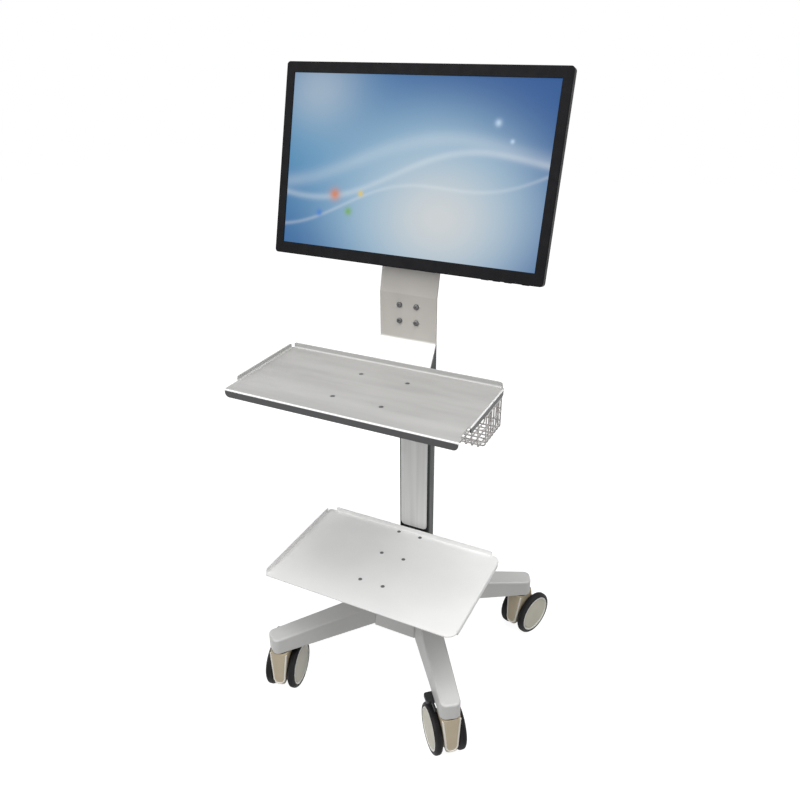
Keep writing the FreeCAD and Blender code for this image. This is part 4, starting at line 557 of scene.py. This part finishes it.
def rounded_path(points, radius, closed):
    """Polyline with its corners turned into arcs."""
    count = len(points)
    result = []
    for index, point in enumerate(points):
        if not closed and index in (0, count - 1):
            result.append(point)
            continue
        before = (points[index - 1] - point).normalized()
        after = (points[(index + 1) % count] - point).normalized()
        half_angle = before.angle(after) / 2
        reach = radius / math.tan(half_angle)
        start = point + before * reach
        end = point + after * reach
        centre = point + (before + after).normalized() * (radius / math.sin(half_angle))
        for step in range(ARC_STEPS + 1):
            share = step / ARC_STEPS
            direction = (start - centre).normalized().slerp((end - centre).normalized(), share)
            result.append(centre + direction * radius)
    return result


def wires(name, paths, thickness):
    """Round wires swept along paths, each a list of points and whether it closes, as one mesh."""
    curve = bpy.data.curves.new(name, "CURVE")
    curve.dimensions = "3D"
    curve.bevel_depth = thickness / 2
    curve.bevel_resolution = 4
    curve.use_fill_caps = True
    for points, closed in paths:
        spline = curve.splines.new("POLY")
        spline.points.add(len(points) - 1)
        for slot, point in zip(spline.points, points):
            slot.co = (*point, 1.0)
        spline.use_cyclic_u = closed
    holder = bpy.data.objects.new(name + "_curve", curve)
    bpy.context.scene.collection.objects.link(holder)
    bpy.context.view_layer.update()
    graph = bpy.context.evaluated_depsgraph_get()
    mesh = bpy.data.meshes.new_from_object(holder.evaluated_get(graph))
    mesh.name = name
    bpy.data.objects.remove(holder)
    bpy.data.curves.remove(curve)
    mesh.shade_smooth()
    return mesh


def even(start, end, pitch):
    """Places from start to end, about a pitch apart."""
    count = max(1, round((end - start) / pitch))
    return [start + (end - start) * index / count for index in range(count + 1)]


def level_loop(low, high, inset, z):
    """Closed path at height z, inset from the box's sides, with rounded corners."""
    x0, x1 = low.x + inset, high.x - inset
    y0, y1 = low.y + inset, high.y - inset
    loop = [Vector((x0, y0, z)), Vector((x1, y0, z)), Vector((x1, y1, z)), Vector((x0, y1, z))]
    return rounded_path(loop, CORNER, True), True


def build_basket():
    """U-shaped wires both ways, level wires round the sides and a thicker rim, for the bars."""
    low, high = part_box("wire_basket")
    inset = WIRE / 2
    x0, x1 = low.x + inset, high.x - inset
    y0, y1 = low.y + inset, high.y - inset
    z0 = low.z + inset
    rim_z = high.z - RIM_WIRE / 2
    hoops = []
    for x in even(x0 + CORNER, x1 - CORNER, WIRE_PITCH):
        hoops.append([(x, y0, rim_z), (x, y0, z0), (x, y1, z0), (x, y1, rim_z)])
    for y in even(y0 + CORNER, y1 - CORNER, WIRE_PITCH):
        hoops.append([(x0, y, rim_z), (x0, y, z0), (x1, y, z0), (x1, y, rim_z)])
    paths = []
    for hoop in hoops:
        paths.append((rounded_path([Vector(point) for point in hoop], WIRE_BEND, False), False))
    for z in even(z0 + LOWEST_RING, rim_z, WIRE_PITCH * 2)[:-1]:
        paths.append(level_loop(low, high, inset, z))
    mesh = wires("basket_wires", paths, ROUND_WIRE)
    rim_mesh = wires("basket_rim", [level_loop(low, high, RIM_WIRE / 2, rim_z)], RIM_WIRE)
    dress(new_piece("basket_wires", mesh), "basket_coating", "cart", "wire_basket")
    dress(new_piece("basket_rim", rim_mesh), "basket_coating", "cart", "wire_basket")


build_basket()


# ---------------------------------------------------------------- caster trims: painted shade rings and highlight rims
GUARD = 0.0044              # thickness of the housing's rim
GUARD_BEND = 0.0045
GUARD_SIDE = (              # one side of that rim: across, to the rear and up from the floor
    (0.0170, -0.0176, 0.1120),
    (0.0112, -0.0238, 0.0460),
    (0.0055, -0.0260, 0.0386),
)
LEG_END_LEVEL = 0.1184      # underside of a leg's end
# dark rings of painted shade: one turns with the caster in the swivel gap, one stands still under the leg's end
SHADE_RING_INNER = 0.0158
SHADE_RING_OUTER = 0.0198
SHADE_RING_LIP = 0.0192
SHADE_RING_GAP = 0.0001           # from the housing's top to the ring of painted shade
RUNNING_GAP = 0.0005        # from the turning ring of painted shade to the one under the leg, which stands still
LEG_SHADE_FOOT = 0.0002        # lower edge of the painted shade under the leg, above the swivel's point
SHADE_RING_CHAMFER = 0.0006


def caster_shade_and_highlight_pieces(corner):
    """Dark rings of painted shade in the swivel gap and under the leg's end, and a rim along the housing's nose in
    a lighter copy of its plastic as a painted highlight.
    """
    swivel = Vector(joints[corner + "_swivel"]["pos_m"])
    on_floor = Matrix.Translation(Vector((swivel.x, swivel.y, 0.0)))
    upright = on_floor @ Matrix.Rotation(math.radians(-90), 4, "Y")
    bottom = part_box(corner + "_caster_housing")[1].z + SHADE_RING_GAP
    foot = swivel.z + LEG_SHADE_FOOT
    top = foot - RUNNING_GAP
    ring = [
        (bottom, SHADE_RING_INNER),
        (bottom, SHADE_RING_OUTER),
        (top - SHADE_RING_CHAMFER, SHADE_RING_OUTER),
        (top, SHADE_RING_LIP),
        (top, SHADE_RING_INNER),
    ]
    dress(lathe(corner + "_swivel_gap_shade", ring, upright), "dark_plastic", corner + "_caster")
    # dark ring of painted shade under the leg's end
    leg_shade_outline = [
        (foot, SHADE_RING_INNER),
        (foot, SHADE_RING_LIP),
        (LEG_END_LEVEL, SHADE_RING_LIP),
        (LEG_END_LEVEL, SHADE_RING_INNER),
    ]
    dress(lathe(corner + "_leg_end_shade", leg_shade_outline, upright), "dark_plastic", "cart")

    axle = Vector(joints[corner + "_right_wheel_spin"]["axis"]).normalized()
    place = on_floor @ Matrix((axle, UP.cross(axle), UP)).transposed().to_4x4()
    side = [Vector(point) for point in GUARD_SIDE]
    side += [Vector((-x, y, z)) for x, y, z in reversed(GUARD_SIDE)]
    path = rounded_path([place @ point for point in side], GUARD_BEND, False)
    # the rim's lighter plastic is a painted highlight along the housing's nose
    rim = new_piece(corner + "_housing_rim", wires(corner + "_housing_rim", [(path, False)], GUARD))
    dress(rim, "caster_plastic", corner + "_caster", look=RIM_HIGHLIGHT_LOOK)


for corner in CORNERS:
    caster_shade_and_highlight_pieces(corner)


# ---------------------------------------------------------------- floor, light and camera
AMBIENT = 0.14              # the world's strength as a source of light
WHITE = (1.0, 1.0, 1.0, 1.0)
FLOOR_COLOUR = (0.32, 0.32, 0.32)
FLOOR_HALF_SIZE = 6.0
FLOOR_DROP = 0.0004
NEAR_GLOW = 0.93            # what the camera sees of the floor beside the cart, so its shadow shows
NEAR = 0.35
FAR = 1.10                  # the floor is white from here on


def stage_floor():
    """Pale floor: the camera sees white with the cart's soft contact shadow."""
    form = bmesh.new()
    size = FLOOR_HALF_SIZE
    corners = [(-size, -size), (size, -size), (size, size), (-size, size)]
    form.faces.new([form.verts.new((x, y, -FLOOR_DROP)) for x, y in corners])
    mesh = bpy.data.meshes.new("studio_floor")
    form.to_mesh(mesh)
    form.free()
    floor = new_piece("studio_floor", mesh)
    look = Look("studio_floor", FLOOR_COLOUR, 0.9, specular=0.0)
    look.colour(look.tint(FLOOR_COLOUR, 0.01, 3.0))
    paths = look.add("ShaderNodeLightPath")
    seen = look.math("MAXIMUM", paths.outputs["Is Camera Ray"], paths.outputs["Is Glossy Ray"])
    seen = look.math("MAXIMUM", seen, paths.outputs["Is Transmission Ray"])
    look.shader.inputs["Emission Color"].default_value = WHITE
    away = look.add("ShaderNodeVectorMath")
    away.operation = "LENGTH"
    look.link(look.place, away.inputs[0])
    glow = look.spread(away.outputs["Value"], NEAR_GLOW, 1.0, NEAR, FAR)
    look.link(look.math("MULTIPLY", seen, glow), look.shader.inputs["Emission Strength"])
    mesh.materials.append(look.material)


def studio_world():
    """White to the eye, in reflections and through glass, but softer as a source of light."""
    world = bpy.data.worlds.new("studio")
    bpy.context.scene.world = world
    world.use_nodes = True
    tree = world.node_tree
    tree.nodes.clear()
    output = tree.nodes.new("ShaderNodeOutputWorld")
    background = tree.nodes.new("ShaderNodeBackground")
    background.inputs["Color"].default_value = WHITE
    paths = tree.nodes.new("ShaderNodeLightPath")
    seen = paths.outputs["Is Camera Ray"]
    for kind in ("Is Glossy Ray", "Is Transmission Ray"):
        either = tree.nodes.new("ShaderNodeMath")
        either.operation = "MAXIMUM"
        tree.links.new(seen, either.inputs[0])
        tree.links.new(paths.outputs[kind], either.inputs[1])
        seen = either.outputs[0]
    strength = tree.nodes.new("ShaderNodeMath")
    strength.operation = "MULTIPLY_ADD"
    tree.links.new(seen, strength.inputs[0])
    strength.inputs[1].default_value = 1.0 - AMBIENT
    strength.inputs[2].default_value = AMBIENT
    tree.links.new(strength.outputs[0], background.inputs["Strength"])
    tree.links.new(background.outputs["Background"], output.inputs["Surface"])


SOFTBOXES = (  # name, offset from AXIS, point it aims at, size in metres, watts
    ("key", (-0.9, -2.1, 1.8), (0.0, -0.1, 0.5), 1.5, 32.0),
    ("fill", (2.1, -0.6, 1.2), (0.0, -0.1, 0.4), 1.2, 9.0),
    ("top", (0.5, -0.5, 2.7), (0.0, -0.1, 0.3), 2.0, 56.0),
)


def softbox(name, offset, target, size, watts):
    """Square area lamp at an offset from AXIS, aimed at a point near it."""
    lamp = bpy.data.lights.new(name, "AREA")
    lamp.shape = "SQUARE"
    lamp.size = size
    lamp.energy = watts
    holder = bpy.data.objects.new(name, lamp)
    bpy.context.scene.collection.objects.link(holder)
    holder.location = AXIS + Vector(offset)
    aim = AXIS + Vector(target) - holder.location
    holder.rotation_euler = aim.to_track_quat("-Z", "Y").to_euler()


FOCAL_LENGTH = 33.74        # this and the sensor's width are in millimetres
SENSOR_WIDTH = 36.0
HEADING = math.radians(26.29)
DOWNWARD = math.radians(26.37)
ROLL = math.radians(-0.27)
CAMERA_OFFSET = Vector((0.5581, -1.2138, 1.2773))


def photo_camera():
    """Camera at the photograph's place, which was solved from the edges seen in it."""
    lens = bpy.data.cameras.new("photo_camera")
    lens.lens = FOCAL_LENGTH
    lens.sensor_width = SENSOR_WIDTH
    lens.sensor_fit = "HORIZONTAL"
    camera = bpy.data.objects.new("photo_camera", lens)
    bpy.context.scene.collection.objects.link(camera)
    level = math.cos(DOWNWARD)
    forward = Vector((-math.sin(HEADING) * level, math.cos(HEADING) * level, -math.sin(DOWNWARD)))
    turn = forward.to_track_quat("-Z", "Y").to_matrix() @ Matrix.Rotation(ROLL, 3, "Z")
    camera.matrix_world = Matrix.Translation(AXIS + CAMERA_OFFSET) @ turn.to_4x4()
    bpy.context.scene.camera = camera


stage_floor()
studio_world()
for lamp in SOFTBOXES:
    softbox(*lamp)
photo_camera()
bpy.context.scene.view_settings.view_transform = "Standard"
